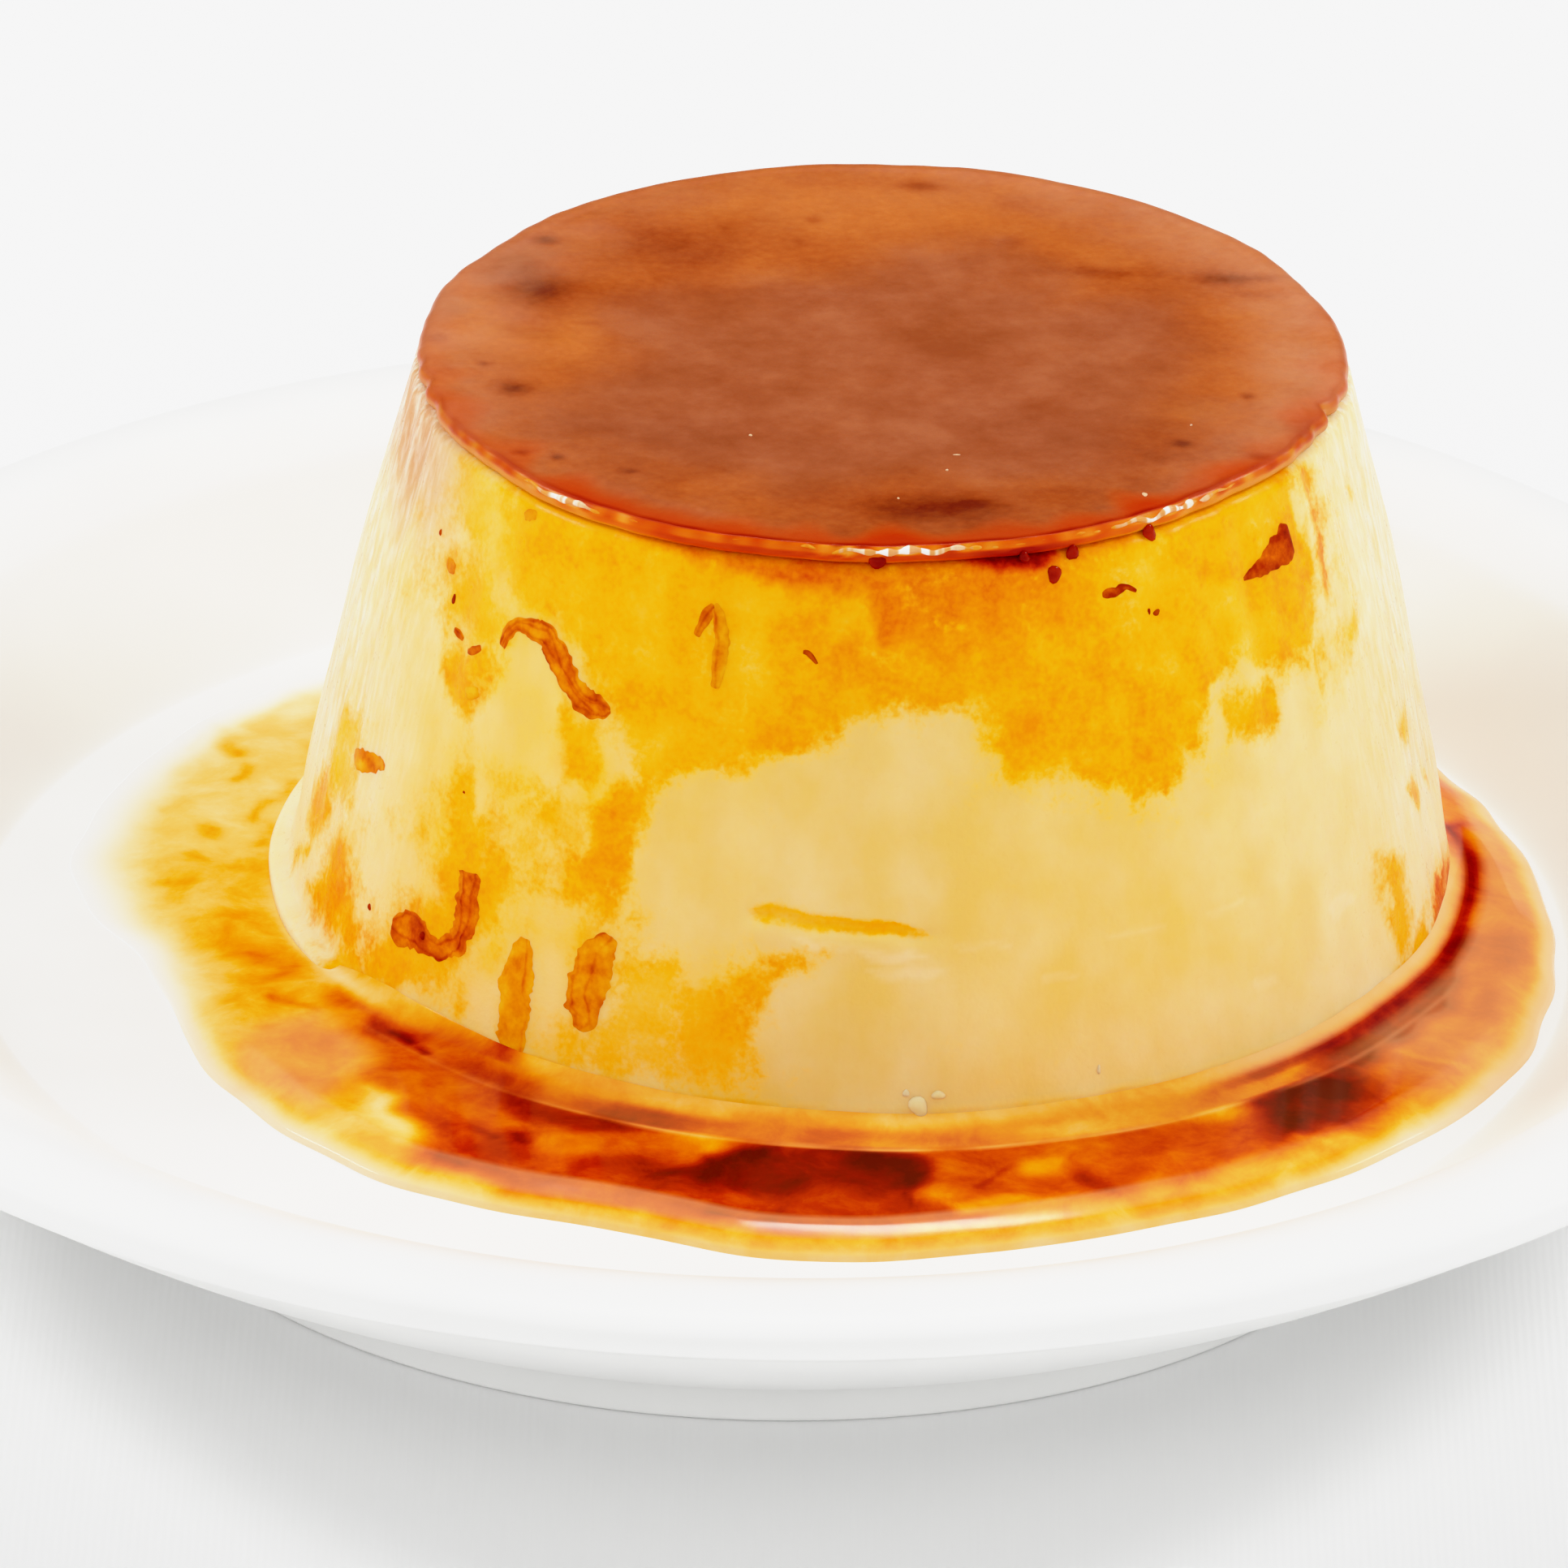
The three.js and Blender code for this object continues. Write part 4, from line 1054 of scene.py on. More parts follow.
bead_steps = np.linspace(0, 8, 321)
bead_slopes = BEAD_STEEP * np.exp(-bead_steps / BEAD_STEEP_REACH)
bead_slopes = bead_slopes + np.interp(bead_steps, *np.array(bead_bends).T)
bead_heights = np.concatenate([[0], np.cumsum((bead_slopes[1:] + bead_slopes[:-1]) / 2 * bead_steps[1])])
POOL_DEPTH = bead_heights[-1]


def smooth_loop(points, angle):
    """Radius at each angle of a smooth closed curve through (angle, radius) points."""
    keys = np.array(points, float)
    keys = np.vstack([keys[-2:] - (360, 0), keys, keys[:3] + (360, 0)])
    slopes = np.gradient(keys[:, 1], keys[:, 0])
    at = np.clip(np.searchsorted(keys[:, 0], angle, side="right") - 1, 0, len(keys) - 2)
    span = keys[at + 1, 0] - keys[at, 0]
    t = (angle - keys[at, 0]) / span
    start, end = keys[at, 1], keys[at + 1, 1]
    lean_in, lean_out = slopes[at] * span, slopes[at + 1] * span
    return ((2 * t ** 3 - 3 * t ** 2 + 1) * start + (t ** 3 - 2 * t ** 2 + t) * lean_in
            + (3 * t ** 2 - 2 * t ** 3) * end + (t ** 3 - t ** 2) * lean_out)


columns = np.arange(POOL_COLUMNS) * 360 / POOL_COLUMNS - 180
film = between(-columns, 54, 76, 150, 175)
outer = smooth_loop(pool_outline, columns) + 0.10 * ripple(columns, 0.0, 41, (12, 40), 0)
climb = (1.05 - 0.20 * bump(columns, 5, 30)) * (1 - film)
inner_height = POOL_DEPTH * (1 - film) + 0.33 * film + climb
inner = (wall_radius(columns, inner_height) - 0.3) * (1 - film) + (BRIM_RADIUS - 0.6) * film
span = outer - inner
near_wall = np.array([0, 0.15, 0.3, 0.42, 0.54, 0.66, 0.8, 0.95, 1.1, 1.3, 1.5, 1.75, 2.0, 2.3, 2.6, 3.0])
near_edge = np.array([3.6, 3.3, 3.0, 2.75, 2.5, 2.25, 2.0, 1.75, 1.5,
                      1.25, 1.0, 0.8, 0.6, 0.45, 0.32, 0.2, 0.1, 0.0])
fit = np.minimum(1, span / (near_wall[-1] + near_edge[0] + 0.4))
middle = np.linspace(0, 1, 36)[1:-1]
pool_radii = [inner + step * fit for step in near_wall]
flat_part = span - (near_wall[-1] + near_edge[0]) * fit
pool_radii += [inner + near_wall[-1] * fit + t * flat_part for t in middle]
pool_radii += [outer - step * fit for step in near_edge]
pool_radii = np.array(pool_radii)


def pool_level(radius):
    """Height of the sauce above the pudding's foot, for rings of points."""
    from_wall = np.maximum(radius - inner - 0.3, -0.3)
    from_edge = outer - radius
    bead = np.interp(from_edge, bead_steps, bead_heights)
    level = bead * (1 - film) + film * (0.5 * ease(from_edge, 0, 9) - 0.17)
    climbed = climb * np.exp(-from_wall / CLIMB_REACH) * (1 - film)
    return level + climbed - 0.25 * (1 - ease(from_edge, 0, 0.2))


top_rings = around(columns, pool_radii, pool_level(pool_radii))[::-1]
under_rings = around(columns, np.array([inner, (inner + outer) / 2, outer]), UNDER_POOL)
pool_rings = np.concatenate([under_rings, top_rings])
pool_faces = ring_faces(len(pool_rings), POOL_COLUMNS, doughnut=True)
sauce = mesh_object("caramel_pool", pool_rings.reshape(-1, 3), pool_faces,
                    syrup_look, "caramel_sauce")
print("the pool is", round(float(POOL_DEPTH), 2), "mm deep")

# %% [markdown]
# ## Painting the depth of the sauce
# Thick syrup ran off the front and lies dark there, and it is thinner and more golden towards the left.
# The depth is drawn as patches, one over another: 0.2 is a pale film, 0.4 gold, 0.55 orange, 0.8 deep
# red. They lie on a flat sheet, in mm from the pudding's axis, and are carried to the curved surface
# along the camera's line of sight. Short soft strokes add the wisps that drift in the film. The submerged
# brim of the custard shows as a pale line close to the wall. A peach tint on the pool is painted
# reflection: a band along the bead at the front and a haze over the right side.

# %% Painting the depth of the sauce
syrup_patches = [
    (0.66, 5.0, [(37, 14), (30, 26), (10, 38), (-14, 37), (-30, 28), (-32, 34), (-12, 43), (14, 42),
        (36, 30), (44, 10)]),
    (0.25, 2.5, [(-56, -10), (-50, 24), (-36, 30), (-34, 10), (-36.5, 0), (-37.5, -6), (-40, -8),
        (-47, -10)]),
    (0.32, 1.8, [(-46, -2), (-39, 2), (-35, -6), (-33, -18), (-36, -20), (-40, -12), (-46, -9)]),
    (0.41, 1.8, [(-42, -8), (-38.6, -7), (-36.2, -12), (-33, -19), (-30, -21), (-32, -26), (-38, -25),
        (-43, -22), (-44, -14)]),
    (0.30, 2.4, [(-46, -18), (-41, -20), (-39, -30), (-43, -32)]),
    (0.52, 2.0, [(-39, -26), (-34.5, -24), (-32, -27), (-32, -34), (-35, -36), (-39, -31)]),
    (0.34, 2.0, [(-42, -30), (-37, -33), (-33, -35), (-29, -37), (-31, -43), (-37, -39)]),
    (0.64, 1.6, [(-33, -19), (-29, -22), (-25, -27), (-19, -32), (-14, -35), (-14, -38), (-20, -39.5),
        (-20, -42.5), (-26, -43), (-28, -38), (-30.6, -33), (-32, -27)]),
    (0.80, 1.0, [(-31, -23.5), (-28.4, -25.4), (-29.6, -27.4), (-31.4, -26)]),
    (0.82, 1.2, [(-27, -29.4), (-24, -29.6), (-20, -32.6), (-15, -35), (-11, -36.6), (-13, -38.6),
        (-18, -38), (-21, -36), (-24, -32)]),
    (0.22, 1.1, [(-31, -32.4), (-28.6, -33), (-28, -37), (-26.8, -39.4), (-28.2, -41.6), (-30, -38)]),
    (0.76, 1.5, [(-27, -36), (-24, -36.5), (-20.5, -38), (-20, -42), (-24, -43.6), (-28, -43)]),
    (0.62, 1.2, [(-20, -38.4), (-14, -37.6), (-10, -38.4), (-12, -42), (-17, -43.5), (-20, -42)]),
    (0.66, 2.0, [(-10, -36), (20, -34), (20, -37.6), (8, -40), (-8, -40)]),
    (0.79, 1.4, [(-20, -42), (-14, -41.6), (-9, -43), (-9, -47), (-14, -47.4), (-19, -45)]),
    (0.90, 2.2, [(-13.6, -42.6), (-10, -40.4), (-6, -39.4), (3, -39.6), (4.6, -43), (2, -46), (-5, -46.8),
        (-10.6, -45.6)]),
    (1.0, 1.2, [(-10, -40.3), (-5, -39.8), (-5.6, -43), (-10, -44)]),
    (1.0, 1.2, [(-0.5, -39.8), (3, -40.6), (1.6, -44), (-1.4, -43)]),
    (0.76, 1.4, [(-16, -45.6), (-6, -46.8), (4, -45.8), (9, -44.5), (8, -49), (-4, -50.4), (-12, -49)]),
    (0.72, 1.6, [(-28, -41.5), (-20, -42.5), (-16, -45.5), (-12, -49), (-18, -47.4), (-24, -45)]),
    (0.68, 1.6, [(3.6, -39.4), (12, -38.4), (20, -36), (21, -40), (14, -44.8), (6, -46)]),
    (0.53, 0.8, [(9.6, -40), (12.4, -40.2), (12, -42), (9.8, -42)]),
    (0.48, 0.8, [(5, -46), (9, -45.4), (13, -45.8), (10, -48), (6, -48)]),
    (0.78, 0.6, [(12.8, -42.2), (14.2, -41.2), (14.4, -44.2), (13.5, -44)]),
    (0.72, 1.8, [(18.6, -36.5), (25, -32.5), (27, -35), (25.6, -40), (18, -42.8)]),
    (0.66, 2.4, [(37, 14), (41, 10), (43.4, 0), (42.4, -12), (38.4, -24), (32, -34), (27, -38), (26, -35),
        (31, -29), (36, -18), (38, -4)]),
    (0.54, 3.0, [(37.5, 14), (41, 10), (44, 0), (43.4, -8), (40, -8), (38.6, 0)]),
    (1.0, 1.8, [(22.6, -31.5), (27.4, -26.6), (31.6, -29), (30.6, -35), (25, -37)]),
    (0.88, 1.0, [(26, -29), (31, -20.6), (35, -11.4), (36.2, -2), (36.6, 8), (38.2, 8), (38.4, -2),
        (38, -11.4), (34.8, -21.4), (31, -29)]),
]
syrup_strokes = [
    ((-43, 19.5), (-40, 14), 0.8, 0.26), ((-40, 18), (-37.6, 23.4), 0.8, 0.22),
    ((-39.5, 5), (-37.4, 9.5), 0.6, 0.22), ((-42.6, 2.8), (-42.2, 3.4), 0.9, 0.24),
    ((-41, -2.5), (-40, -2.7), 1.1, 0.14), ((-45.5, -5), (-44, -5.4), 0.9, 0.12),
    ((-44.6, 11.4), (-43.6, 12.4), 1.0, 0.12), ((-41, 10), (-39.6, 12), 0.5, 0.14),
    ((-46, 5.4), (-44.6, 6.8), 0.5, 0.10), ((-43.5, 0), (-42.6, -1.6), 0.5, 0.12),
    ((-44, 15), (-43.2, 16.8), 0.4, 0.12), ((-38.8, 0.6), (-38.4, 4), 0.6, 0.12),
    ((-39.4, -14.6), (-38.6, -15.4), 0.9, 0.14), ((-37, -16.6), (-36.8, -17.6), 0.8, 0.14),
    ((-36, -20), (-34.4, -22.4), 0.6, 0.16), ((-29.7, -25.6), (-29.3, -26.4), 0.45, 0.3),
    ((-28.6, -27.3), (-28.3, -27.8), 0.3, 0.3), ((-27, -41.6), (-25.6, -42.6), 0.6, 0.18),
    ((-21.8, -38.4), (-21.2, -39.8), 0.5, 0.2), ((-24.8, -37), (-23.6, -38.6), 0.5, 0.14),
    ((-13, -44), (-11, -42), 0.5, 0.1), ((1.5, -45.5), (2.6, -47), 0.4, 0.14),
    ((-10, -48.4), (-4, -49.8), 0.25, 0.10), ((34, -24), (37, -27), 0.35, -0.14),
    ((26, -37), (28.6, -38), 0.6, -0.16), ((7, -43.4), (8.6, -41), 0.4, 0.14)]

SHEET_LEVEL = 0.9
x = pool_rings[..., 0] - AXIS[0]
y = pool_rings[..., 1] - AXIS[1]
angle_grid = np.broadcast_to(columns, x.shape)
radius_grid = np.hypot(x, y)
above_sheet = pool_level(radius_grid) - SHEET_LEVEL
y = y + above_sheet / np.tan(ELEVATION)
sway_x, sway_y = (ripple(angle_grid, radius_grid, seed, (6, 22), 0.5) for seed in (42, 43))
curl_x, curl_y = (ripple(angle_grid, radius_grid, seed, (30, 60), 1.1) for seed in (44, 45))
shaken = np.stack([x + 0.6 * sway_x + 0.28 * curl_x, y + 0.6 * sway_y + 0.28 * curl_y], axis=-1)
depth_values = painted(shaken, syrup_patches)[1]
for start, end, width, amount in syrup_strokes:
    line = np.array([start, end])
    depth_values += 0.7 * amount * bell(inside(shaken, line), width)
from_edge = outer - radius_grid
from_wall = radius_grid - wall_radius(angle_grid, 1.0)
gold_edge = 0.40 + 0.06 * ripple(angle_grid, radius_grid, 46, (20, 70), 1.0)
rim_reach = 1.9 + 0.5 * ripple(columns, 0.0, 48, (8, 30), 0) + 1.0 * bump(columns, 16, 10)
near_rim = (1 - ease(from_edge, 0.5, rim_reach)) * (1 - film)
depth_values = toward(depth_values, np.minimum(gold_edge, depth_values), near_rim)
soft_side = ease(np.abs(angle_grid - 4), 22, 42)
fade = 0.6 - 0.35 * soft_side + (0.4 + 0.35 * soft_side) * ease(from_edge, 0, 0.7 + 1.1 * soft_side)
fade = fade * (1 - film) + ease(from_edge, 0, 6) * film
depth_values = depth_values * fade
# Painted reflection in a peach tint: a band along the bead at the front and a haze over the right side.
band = bump(columns, -6, 34, 1.3) * between(from_edge, 1.2, 1.7, 3.0, 3.5)
right_haze = between(angle_grid, 44, 56, 112, 135) * ease(from_wall, 1.5, 2.6)
pale_edge = (1 - ease(from_edge, 0.3, 1.4)) * (1 - film)
over_brim = (1 - ease(from_wall, 2.8, 3.15)) * between(angle_grid, -38, -24, 36, 50)
film_lines = 0.03 * ripple(angle_grid, from_wall, 47, (6, 24), 4.0)
reddish = 0.30 * bump(angle_grid, -19, 9) + 0.14 * bump(angle_grid, -4, 4) - 0.06 * bump(angle_grid, 18, 12)
brim_depth = 0.36 + 0.16 * ease(from_wall, 0.0, 1.6) + reddish * ease(from_wall, 0.8, 1.8) + film_lines
brim_depth += 0.06 * ripple(angle_grid, from_wall, 50, (4, 16), 1.8)
depth_values = toward(depth_values, brim_depth, over_brim)
wet_wall = (1 - ease(from_wall, 1.3, 1.9)) * between(angle_grid, 30, 44, 84, 98)
wall_depth = 0.25 + 0.60 * ease(from_wall, 0.0, 1.2) + film_lines
depth_values = toward(depth_values, wall_depth, wet_wall)
flake_foot = bump(angle_grid, -38, 2.2) * (1 - ease(from_wall, 0.6, 1.1))
depth_values = toward(depth_values, 0.80, flake_foot)
brim_line = bell(from_wall - 3.2, 0.2) * bump(columns, 4, 34, 1.3)
brim_line = brim_line * broken(columns, 49, (14, 50), 0.75, 0.35)
depth_values = toward(depth_values, 0.30, 0.8 * brim_line)
ledge = bell(from_wall - 0.9, 0.7) * between(angle_grid, -90, -70, -62, -44)
depth_values = toward(depth_values, 0.14, 0.8 * ledge)
tan_film = washes(shaken, [(0.35, 3.0, [(-40, -25), (-34, -23), (-32, -30), (-34, -36), (-39, -33)])])
right_haze = right_haze * (1 - 0.8 * ease(depth_values, 0.80, 0.96))
peach_values = (0.34 * band + 0.45 * right_haze + 0.40 * brim_line + 0.30 * pale_edge
                + 0.16 * over_brim + tan_film)
peach_values += 0.6 * wet_wall * (1 - ease(from_wall, 0.3, 1.0))
peach_values = np.clip(peach_values, 0, 1)
paint(sauce, syrup=depth_values.ravel(), peach=peach_values.ravel())

# %% [markdown]
# ## Flakes of burnt sugar skin
# Scraps of the brown skin tore off in the mould and stuck to the wall as folded, see-through shreds.
# Each is a ribbon of a few given points (angle, height, half width) that follows the wall, with
# ragged sides. Its back dips into the custard, so it is a closed thin body. The shred is orange where it
# lies single, and every crease along it is a darker raised line, because there the light crosses more
# layers. Each entry gives the darkness, the creases as places across from -1 to 1, and the points.

# %% Flakes of burnt sugar skin
FIBRE = 0.6
CLUMP = 1.6
CREASE_WIDTH = 0.10
FLAKE_STEP = 0.11
FLAKE_ACROSS = 29
FLAKE_SINK = 0.25

flake_look, tree, spot = material("burnt_sugar_flake")
layers = node(tree, "Attribute", attribute_name="layers").outputs["Fac"]
fibre = node(tree, "TexNoise", {
    "Vector": spot, "Scale": 1 / (FIBRE * METRE), "Detail": 5.0, "Roughness": 0.6})
frayed = node(tree, "MapRange", {0: fibre, **NOISE, 3: -0.12, 4: 0.12})
clumps = node(tree, "TexNoise", {"Vector": spot, "Scale": 1 / (CLUMP * METRE), "Detail": 3.0})
clumped = node(tree, "MapRange", {0: clumps, **NOISE, 3: -0.16, 4: 0.16})
thick = node(tree, "Math", {0: layers, 1: frayed}, operation="ADD")
thickness = node(tree, "Math", {0: thick, 1: clumped}, operation="ADD")
flake_stops = [
    (0.0, "ffb024"), (0.2, "fa9a12"), (0.4, "ec7c08"), (0.6, "d05404"), (0.8, "a82e00"), (1.0, "761200")]
flake_tint = node(tree, "ValToRGB", {0: thickness}, stops=flake_stops)
flake_rough = node(tree, "MapRange", {0: fibre, 3: 0.3, 4: 0.5})
flake_bsdf = node(tree, "BsdfPrincipled", {
    "Base Color": flake_tint, "Roughness": flake_rough, "IOR": 1.4,
    "Specular IOR Level": 0.08, "Subsurface Weight": 0.3,
    "Subsurface Radius": (1.0, 0.5, 0.2), "Subsurface Scale": 0.002})
node(tree, "OutputMaterial", {0: flake_bsdf})

flakes = {
    "flake_arch": (0.33, (-0.72, -0.30, 0.15, 0.6), [(-46.6, 26.2, 0.35), (-46, 27.4, 0.55),
        (-44.6, 28.2, 0.5), (-43, 28.3, 0.6), (-41.6, 28.1, 0.75), (-40.2, 28.2, 0.95),
        (-38.6, 27.5, 1.0), (-36.6, 26.3, 0.85), (-34.8, 25.3, 0.75), (-33.4, 24.9, 0.95),
        (-31.6, 24.8, 0.7), (-30.2, 25, 0.1)]),
    "flake_hook": (0.42, (-0.5, 0.45), [(-46.2, 11.9, 0.9), (-45.7, 10.2, 1.0), (-45.6, 8.6, 1.05),
        (-46.2, 7.0, 1.0), (-48.5, 6.0, 0.75), (-50.5, 6.1, 0.9), (-52.5, 6.3, 1.2), (-54.5, 6.0, 1.2),
        (-56.2, 6.0, 0.5)]),
    "flake_strip": (0.14, (0.55,), [(-37.2, 9.4, 0.35), (-37.4, 8.2, 0.9), (-37.5, 6, 1.2),
        (-37.2, 4, 1.15), (-37.3, 2.8, 1.25), (-37.6, 1.8, 1.1)]),
    "flake_leg_right": (0.16, (-0.3,), [(-19.9, 32.7, 0.35), (-18.8, 32.1, 0.5), (-18.3, 30.6, 0.5),
        (-18.4, 29, 0.5), (-18.5, 27.4, 0.25)]),
    "flake_leg_left": (0.38, (0.1,), [(-19.3, 32.7, 0.3), (-20.4, 31.9, 0.45), (-21.5, 30.4, 0.2)]),
    "flake_leaf": (0.24, (-0.75, 0.1), [(-27.2, 11.2, 0.4), (-28, 10, 1.1), (-29, 8.4, 1.35),
        (-29.6, 6.8, 1.45), (-29.2, 5.6, 1.0), (-30, 4.6, 0.25)]),
    "flake_diamond": (0.20, (), [(-71.3, 13.5, 0.12), (-69.6, 13.7, 0.62), (-67, 14, 0.75),
        (-64.6, 14.5, 0.6), (-62.6, 14.7, 0.12)]),
    "flake_kite": (0.62, (), [(48.3, 30.9, 0.08), (51, 31.1, 0.5), (54, 31.4, 1.0), (57, 31.8, 1.35),
        (58.4, 31.9, 1.0)]),
    "flake_small": (0.66, (), [(27, 32.8, 0.1), (28.2, 32.8, 0.42), (29.6, 32.8, 0.36),
        (30.4, 33.1, 0.18), (31.6, 32.7, 0.2), (32, 32.5, 0.05)]),
    "flake_left_a": (0.40, (0.2,), [(-55.6, 25.6, 0.15), (-54.4, 25.5, 0.35), (-53.2, 25.3, 0.15)]),
    "flake_left_b": (0.45, (), [(-52.4, 24.8, 0.12), (-51, 25.1, 0.3), (-49.6, 25.7, 0.12)]),
    "flake_left_c": (0.12, (), [(-51.4, 22.3, 0.25), (-50, 22.6, 0.55), (-48.8, 22.9, 0.25)]),
    "flake_left_d": (0.24, (), [(-60, 29.0, 0.25), (-58.6, 29.0, 0.5), (-57.2, 29.0, 0.25)]),
    "flake_upper_left": (0.26, (), [(-47.0, 34.5, 0.2), (-45.8, 35.0, 0.42), (-44.4, 35.0, 0.2)]),
    "flake_curl": (0.62, (), [(-9, 30.4, 0.08), (-8.2, 30.5, 0.18), (-7.4, 30.1, 0.16),
        (-6.8, 29.7, 0.05)]),
}


def rough_line(draw, steps, width):
    """Random numbers smoothed over so many steps, about 1 high."""
    soft = np.hanning(width + 2)
    line = np.convolve(draw.normal(size=steps + width + 1), soft, "valid")[:steps]
    return line / np.sqrt((soft ** 2).sum())


def ribbon_on_wall(name, darkness, creases, keys, seed):
    """A thin crumpled shred of skin that follows the custard wall."""
    draw = np.random.default_rng(seed)
    flat = np.array(keys, float) * (MM_PER_DEGREE, 1, 1)
    walked = np.concatenate([[0], np.cumsum(np.hypot(*np.diff(flat[:, :2], axis=0).T))])
    steps = max(16, int(walked[-1] / FLAKE_STEP))
    s = np.linspace(0, walked[-1], steps)
    soft = np.ones(7) / 7
    keyed = (np.pad(np.interp(s, walked, column), 3, mode="edge") for column in flat.T)
    middle_x, middle_y, half = (np.convolve(line, soft, "valid") for line in keyed)
    along = np.stack([np.gradient(middle_x), np.gradient(middle_y)], axis=-1)
    along /= np.linalg.norm(along, axis=-1, keepdims=True) + 1e-9
    across = np.linspace(-1, 1, FLAKE_ACROSS)[None, :]
    s_column = s[:, None]
    left, right = (1 + 0.08 * rough_line(draw, steps, 41) + 0.09 * rough_line(draw, steps, 5)
                   for _ in range(2))
    side = np.where(across < 0, left[:, None], right[:, None])
    reach = half[:, None] * across * side
    px = middle_x[:, None] - along[:, 1:] * reach
    py = middle_y[:, None] + along[:, :1] * reach
    folded = np.zeros_like(reach)
    for place in creases:
        paces, starts = draw.uniform((0.5, 1.6), (0.9, 2.6)), draw.uniform(0, 6.3, 2)
        wander = place
        for size, pace, start in zip((0.22, 0.09), paces, starts):
            wander = wander + size * np.sin(s_column * pace + start)
        line = bell((across - wander) * half[:, None], CREASE_WIDTH)
        folded = np.maximum(folded, line * (0.75 + 0.25 * np.sin(s_column * 1.3 + starts[1])))
    swell = 0.5 + 0.5 * np.sin(s_column * 1.9 + 2.2 * across + draw.uniform(0, 6.3))
    tips = np.minimum(1, np.minimum(s, s[-1] - s) / 0.3)[:, None]
    edge_drop = 1 - np.abs(across) ** 8
    proud = (0.036 + 0.012 * swell + 0.035 * folded) * edge_drop * tips - 0.018
    angle, height = px / MM_PER_DEGREE, py
    skin_at = wall_face(angle, height)
    front = around(angle, skin_at + proud, height)
    back = around(angle, skin_at - FLAKE_SINK, height)[:, ::-1]
    loops = np.concatenate([front, back], axis=1)
    layers_front = darkness + 0.12 + 0.20 * folded + 0.14 * (swell - 0.5)
    layers_all = np.concatenate([layers_front, layers_front[:, ::-1]], axis=1)
    piece = mesh_object(name, with_poles(loops), ring_faces(steps, loops.shape[1]),
                        flake_look, None)
    face_outward(piece)
    poles = [layers_all[0].mean(), layers_all[-1].mean()]
    paint(piece, layers=np.concatenate([layers_all.ravel(), poles]))


for number, (name, (darkness, creases, keys)) in enumerate(flakes.items()):
    ribbon_on_wall(name, darkness, creases, keys, 50 + number)

# %% [markdown]
# ## The bead of syrup on the rim
# Where the skin tore free of the mould it pulled a thread of thick syrup over its front corner. The
# thread is a thin tube laid along the corner, almost nothing for most of the way and swelling to about
# half a millimetre thick in three places. There broken near-white sparks are painted on its lumps as
# highlights of the lamps.

# %% The bead of syrup on the rim
BEAD_SECTION = 10
BEAD_LEVEL = 0.82
bead_turns = np.linspace(-50, 52, 1200)
swellings = bump(bead_turns, 3, 9) + 0.9 * bump(bead_turns, -41, 5) + 0.9 * bump(bead_turns, 38, 9)
swellings = np.clip(swellings, 0, 1)
bead_lumps = 0.8 + 0.30 * ripple(bead_turns, 0.0, 61, (50, 170), 0, 12)
bead_radii = np.clip((0.05 + 0.22 * swellings) * bead_lumps, 0.03, 0.34)
bead_radii = bead_radii * between(bead_turns, -50, -47, 49, 52) + 0.005
bead_drift = 0.09 * ripple(bead_turns, 0.0, 62, (20, 90), 0, 8)
section_turn = np.radians(np.arange(BEAD_SECTION) * 360 / BEAD_SECTION)[None, :]
bead_out = skin_edge(bead_turns) - 0.04
bead_points = around(bead_turns[:, None], bead_out[:, None] + bead_radii[:, None] * np.cos(section_turn),
                     CUSTARD_TOP + BEAD_LEVEL + bead_drift[:, None]
                     + bead_radii[:, None] * np.sin(section_turn))
rim_bead = mesh_object("syrup_rim_bead", with_poles(bead_points), ring_faces(len(bead_turns), BEAD_SECTION),
                       skin_look, None)
face_outward(rim_bead)
# Painted highlights: broken near-white sparks on the swollen lumps, where the lamps glint.
sparks = ripple(bead_turns, 0.0, 63, (60, 200), 0, 14) + 0.7 * ripple(bead_turns, 0.0, 64, (180, 420), 0)
bead_glow = 0.46 + 0.26 * swellings + 0.34 * swellings * ease(sparks, -0.7, 0.6)
paint(rim_bead, glow=np.append(np.repeat(bead_glow, BEAD_SECTION), bead_glow[[0, -1]]),
      edge=np.ones(len(bead_turns) * BEAD_SECTION + 2))

# %% [markdown]
# ## Drops, crumbs and specks
# The small accidents of turning out a pudding: dark drops of syrup that stuck below the rim, pale crumbs
# of custard at the waterline, and burnt specks. Each is a little uneven dome half sunk in what it sits
# on. All of one kind are joined in one piece, because many tiny objects are slow to handle.

# %% Drops, crumbs and specks
LUMP_COLUMNS = 14
WALL_LEAN = 0.2
lump_lifts = np.radians([-70, -40, -15, 10, 35, 60, 78])


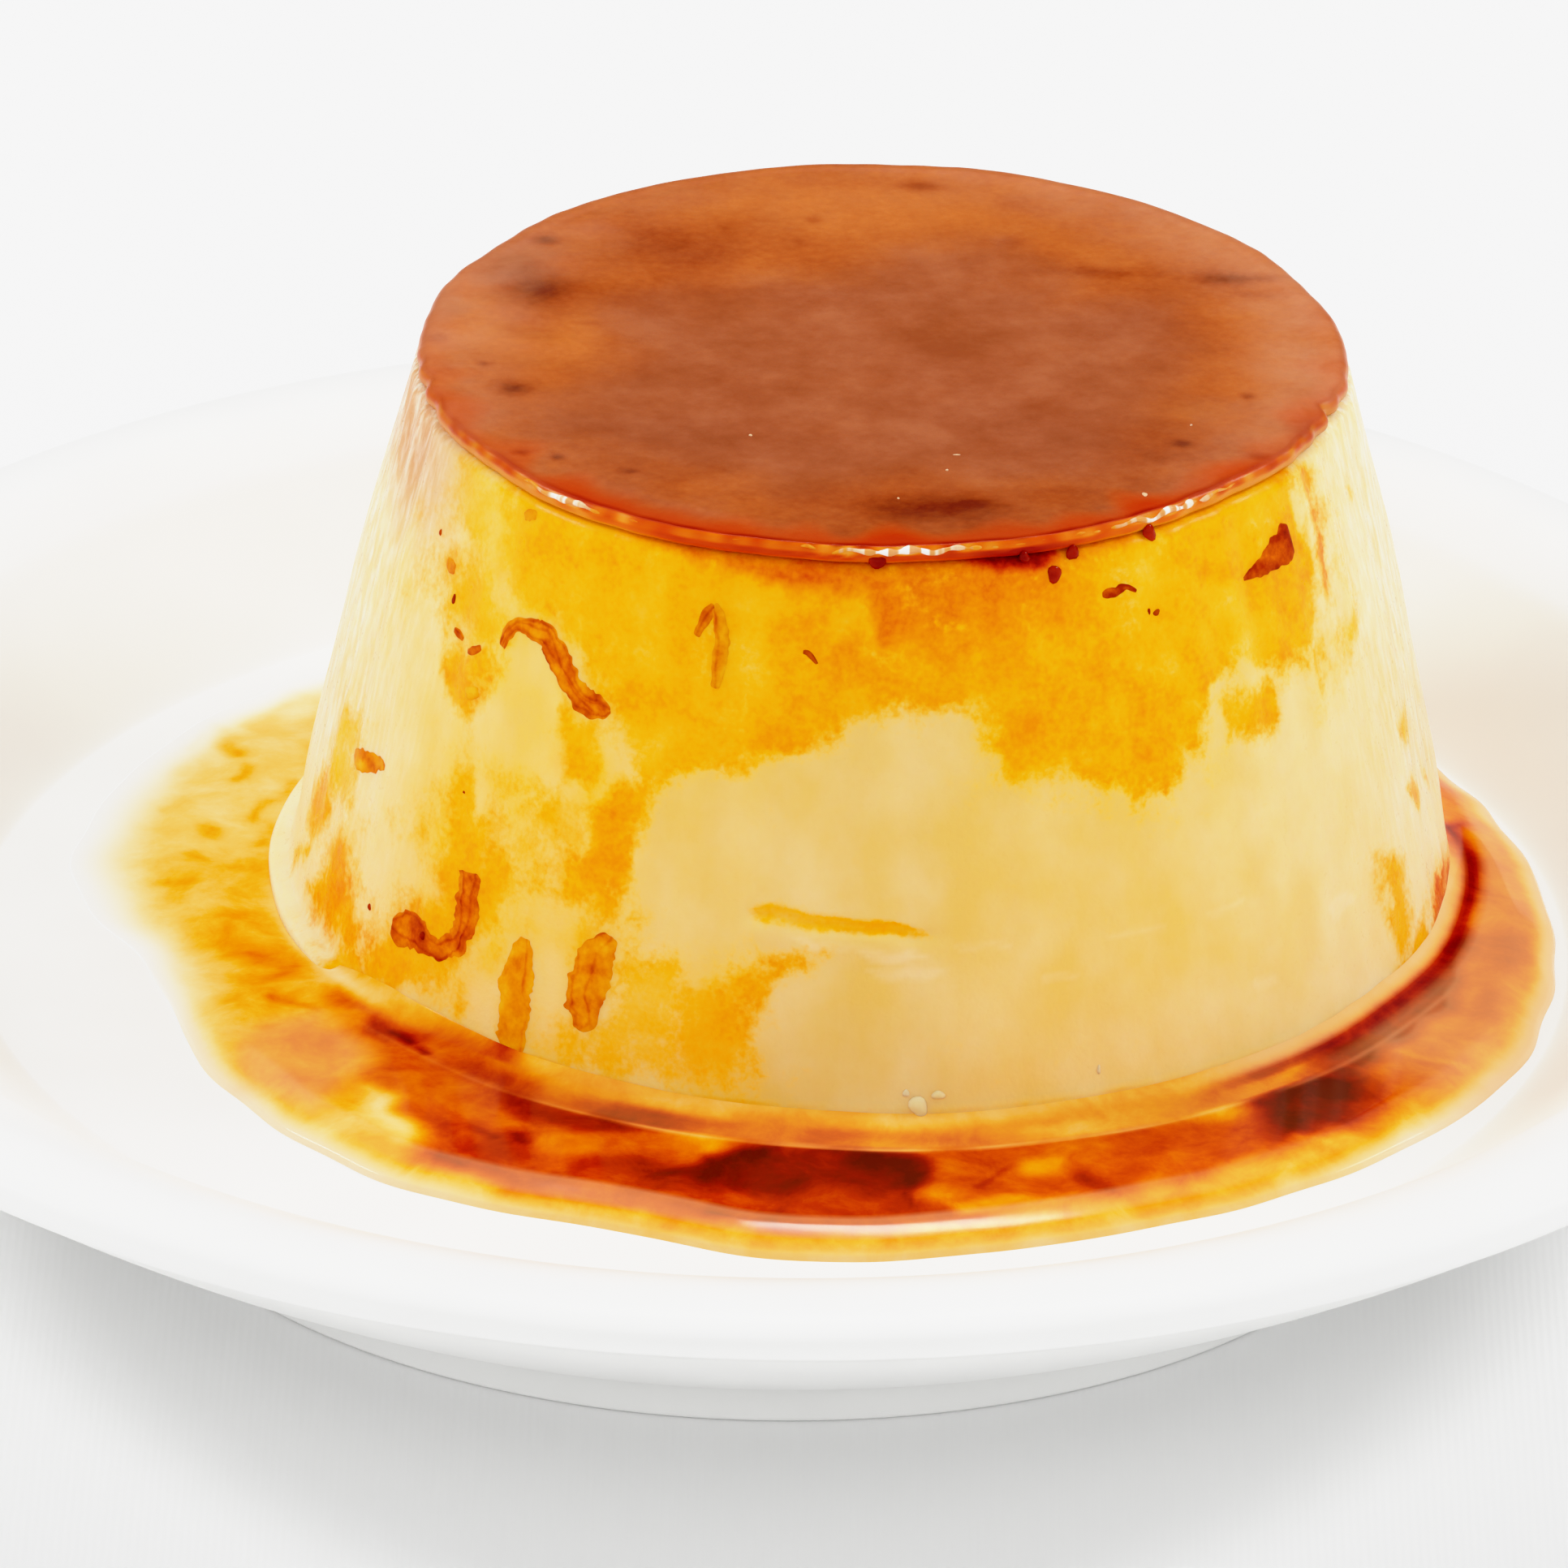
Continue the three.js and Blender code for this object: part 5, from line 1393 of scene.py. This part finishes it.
def lumps(name, places, finish, slot, attributes, seed):
    """Domes joined in one piece. Each place is (point, outward direction, radius, proud, stretch)."""
    draw = np.random.default_rng(seed)
    turn = np.radians(np.arange(LUMP_COLUMNS) * 360 / LUMP_COLUMNS)
    points, faces = [], []
    for centre, outward, radius, proud, stretch in places:
        up = np.array(outward, float) / np.linalg.norm(outward)
        side = np.cross(up, (0.0, 0.0, 1.0) if abs(up[2]) < 0.9 else (1.0, 0.0, 0.0))
        side /= np.linalg.norm(side)
        over = np.cross(up, side)
        uneven = np.ones(LUMP_COLUMNS)
        for lobes, size in ((2, 0.14), (3, 0.10)):
            uneven = uneven + size * np.sin(lobes * turn + draw.uniform(0, 6.3))
        flat = np.cos(turn)[:, None] * side * uneven[:, None]
        flat = flat + stretch * np.sin(turn)[:, None] * over * uneven[:, None]
        rings = np.array([centre + radius * np.cos(lift) * flat + up * proud * np.sin(lift)
                          for lift in lump_lifts])
        first = sum(len(group) for group in points)
        points.append(with_poles(rings))
        faces += [tuple(corner + first for corner in face) for face in ring_faces(len(rings), LUMP_COLUMNS)]
    piece = mesh_object(name, np.concatenate(points), faces, finish, None)
    face_outward(piece)
    count = sum(len(group) for group in points)
    paint(piece, **{attribute: np.full(count, value) for attribute, value in attributes.items()})


def on_wall(angle, height, radius, proud=0.2, stretch=1.0):
    """A place on the custard's wall for a lump."""
    a = np.radians(angle)
    outward = (np.sin(a), -np.cos(a), WALL_LEAN)
    return around(angle, wall_face(angle, height), height), outward, radius, proud, stretch


def on_top(x, y, radius, proud=0.08, stretch=1.0):
    """A place on the caramel top for a lump."""
    angle, distance = np.degrees(np.arctan2(x, -y)), np.hypot(x, y)
    level = TOP_LEVEL + top_level(angle, distance)
    return around(angle, distance, level), (0, 0, 1), radius, proud, stretch


lumps("syrup_drops", [
    on_wall(-0.5, 36.1, 0.48), on_wall(21.2, 34.6, 0.52), on_wall(23.8, 35.7, 0.38, 0.2, 1.4),
    on_wall(34.8, 35.8, 0.46, 0.2, 1.2), on_wall(17.5, 35.9, 0.35)],
      syrup_look, "caramel_syrup", {"syrup": 0.84}, 71)
lumps("burnt_specks", [
    on_wall(-56.5, 27.3, 0.2, 0.08, 1.6), on_wall(-62.3, 30.4, 0.13, 0.08, 2.0),
    on_wall(-51, 6.5, 0.25, 0.24), on_wall(-60.4, 6, 0.2, 0.1), on_wall(-48.7, 16.4, 0.1, 0.05),
    on_wall(34.2, 31.0, 0.28, 0.06, 0.7), on_wall(33.2, 31.2, 0.12, 0.05, 1.6)],
      flake_look, "caramel_skin", {"layers": 0.8}, 72)
lumps("custard_crumbs", [
    on_wall(4.7, 2.5, 0.60, 0.3, 1.15), on_wall(6.6, 3.2, 0.40, 0.22, 0.8),
    on_wall(3.5, 3.3, 0.20, 0.14, 1.4), on_wall(22.8, 3.7, 0.14, 0.1, 2.0)],
      custard_look, "custard", {"cream": 0.6, "wash": 0.08}, 73)
lumps("top_specks", [
    on_top(-8.2, -13.4, 0.11), on_top(4.6, -15.5, 0.06, 0.05, 3.6), on_top(4, -17.8, 0.09),
    on_top(1, -22, 0.08), on_top(16.2, -20.8, 0.28, 0.06, 0.6), on_top(19.2, -10.6, 0.08)],
      skin_look, "caramel_skin", {"edge": 1.0, "glow": 0.82}, 74)
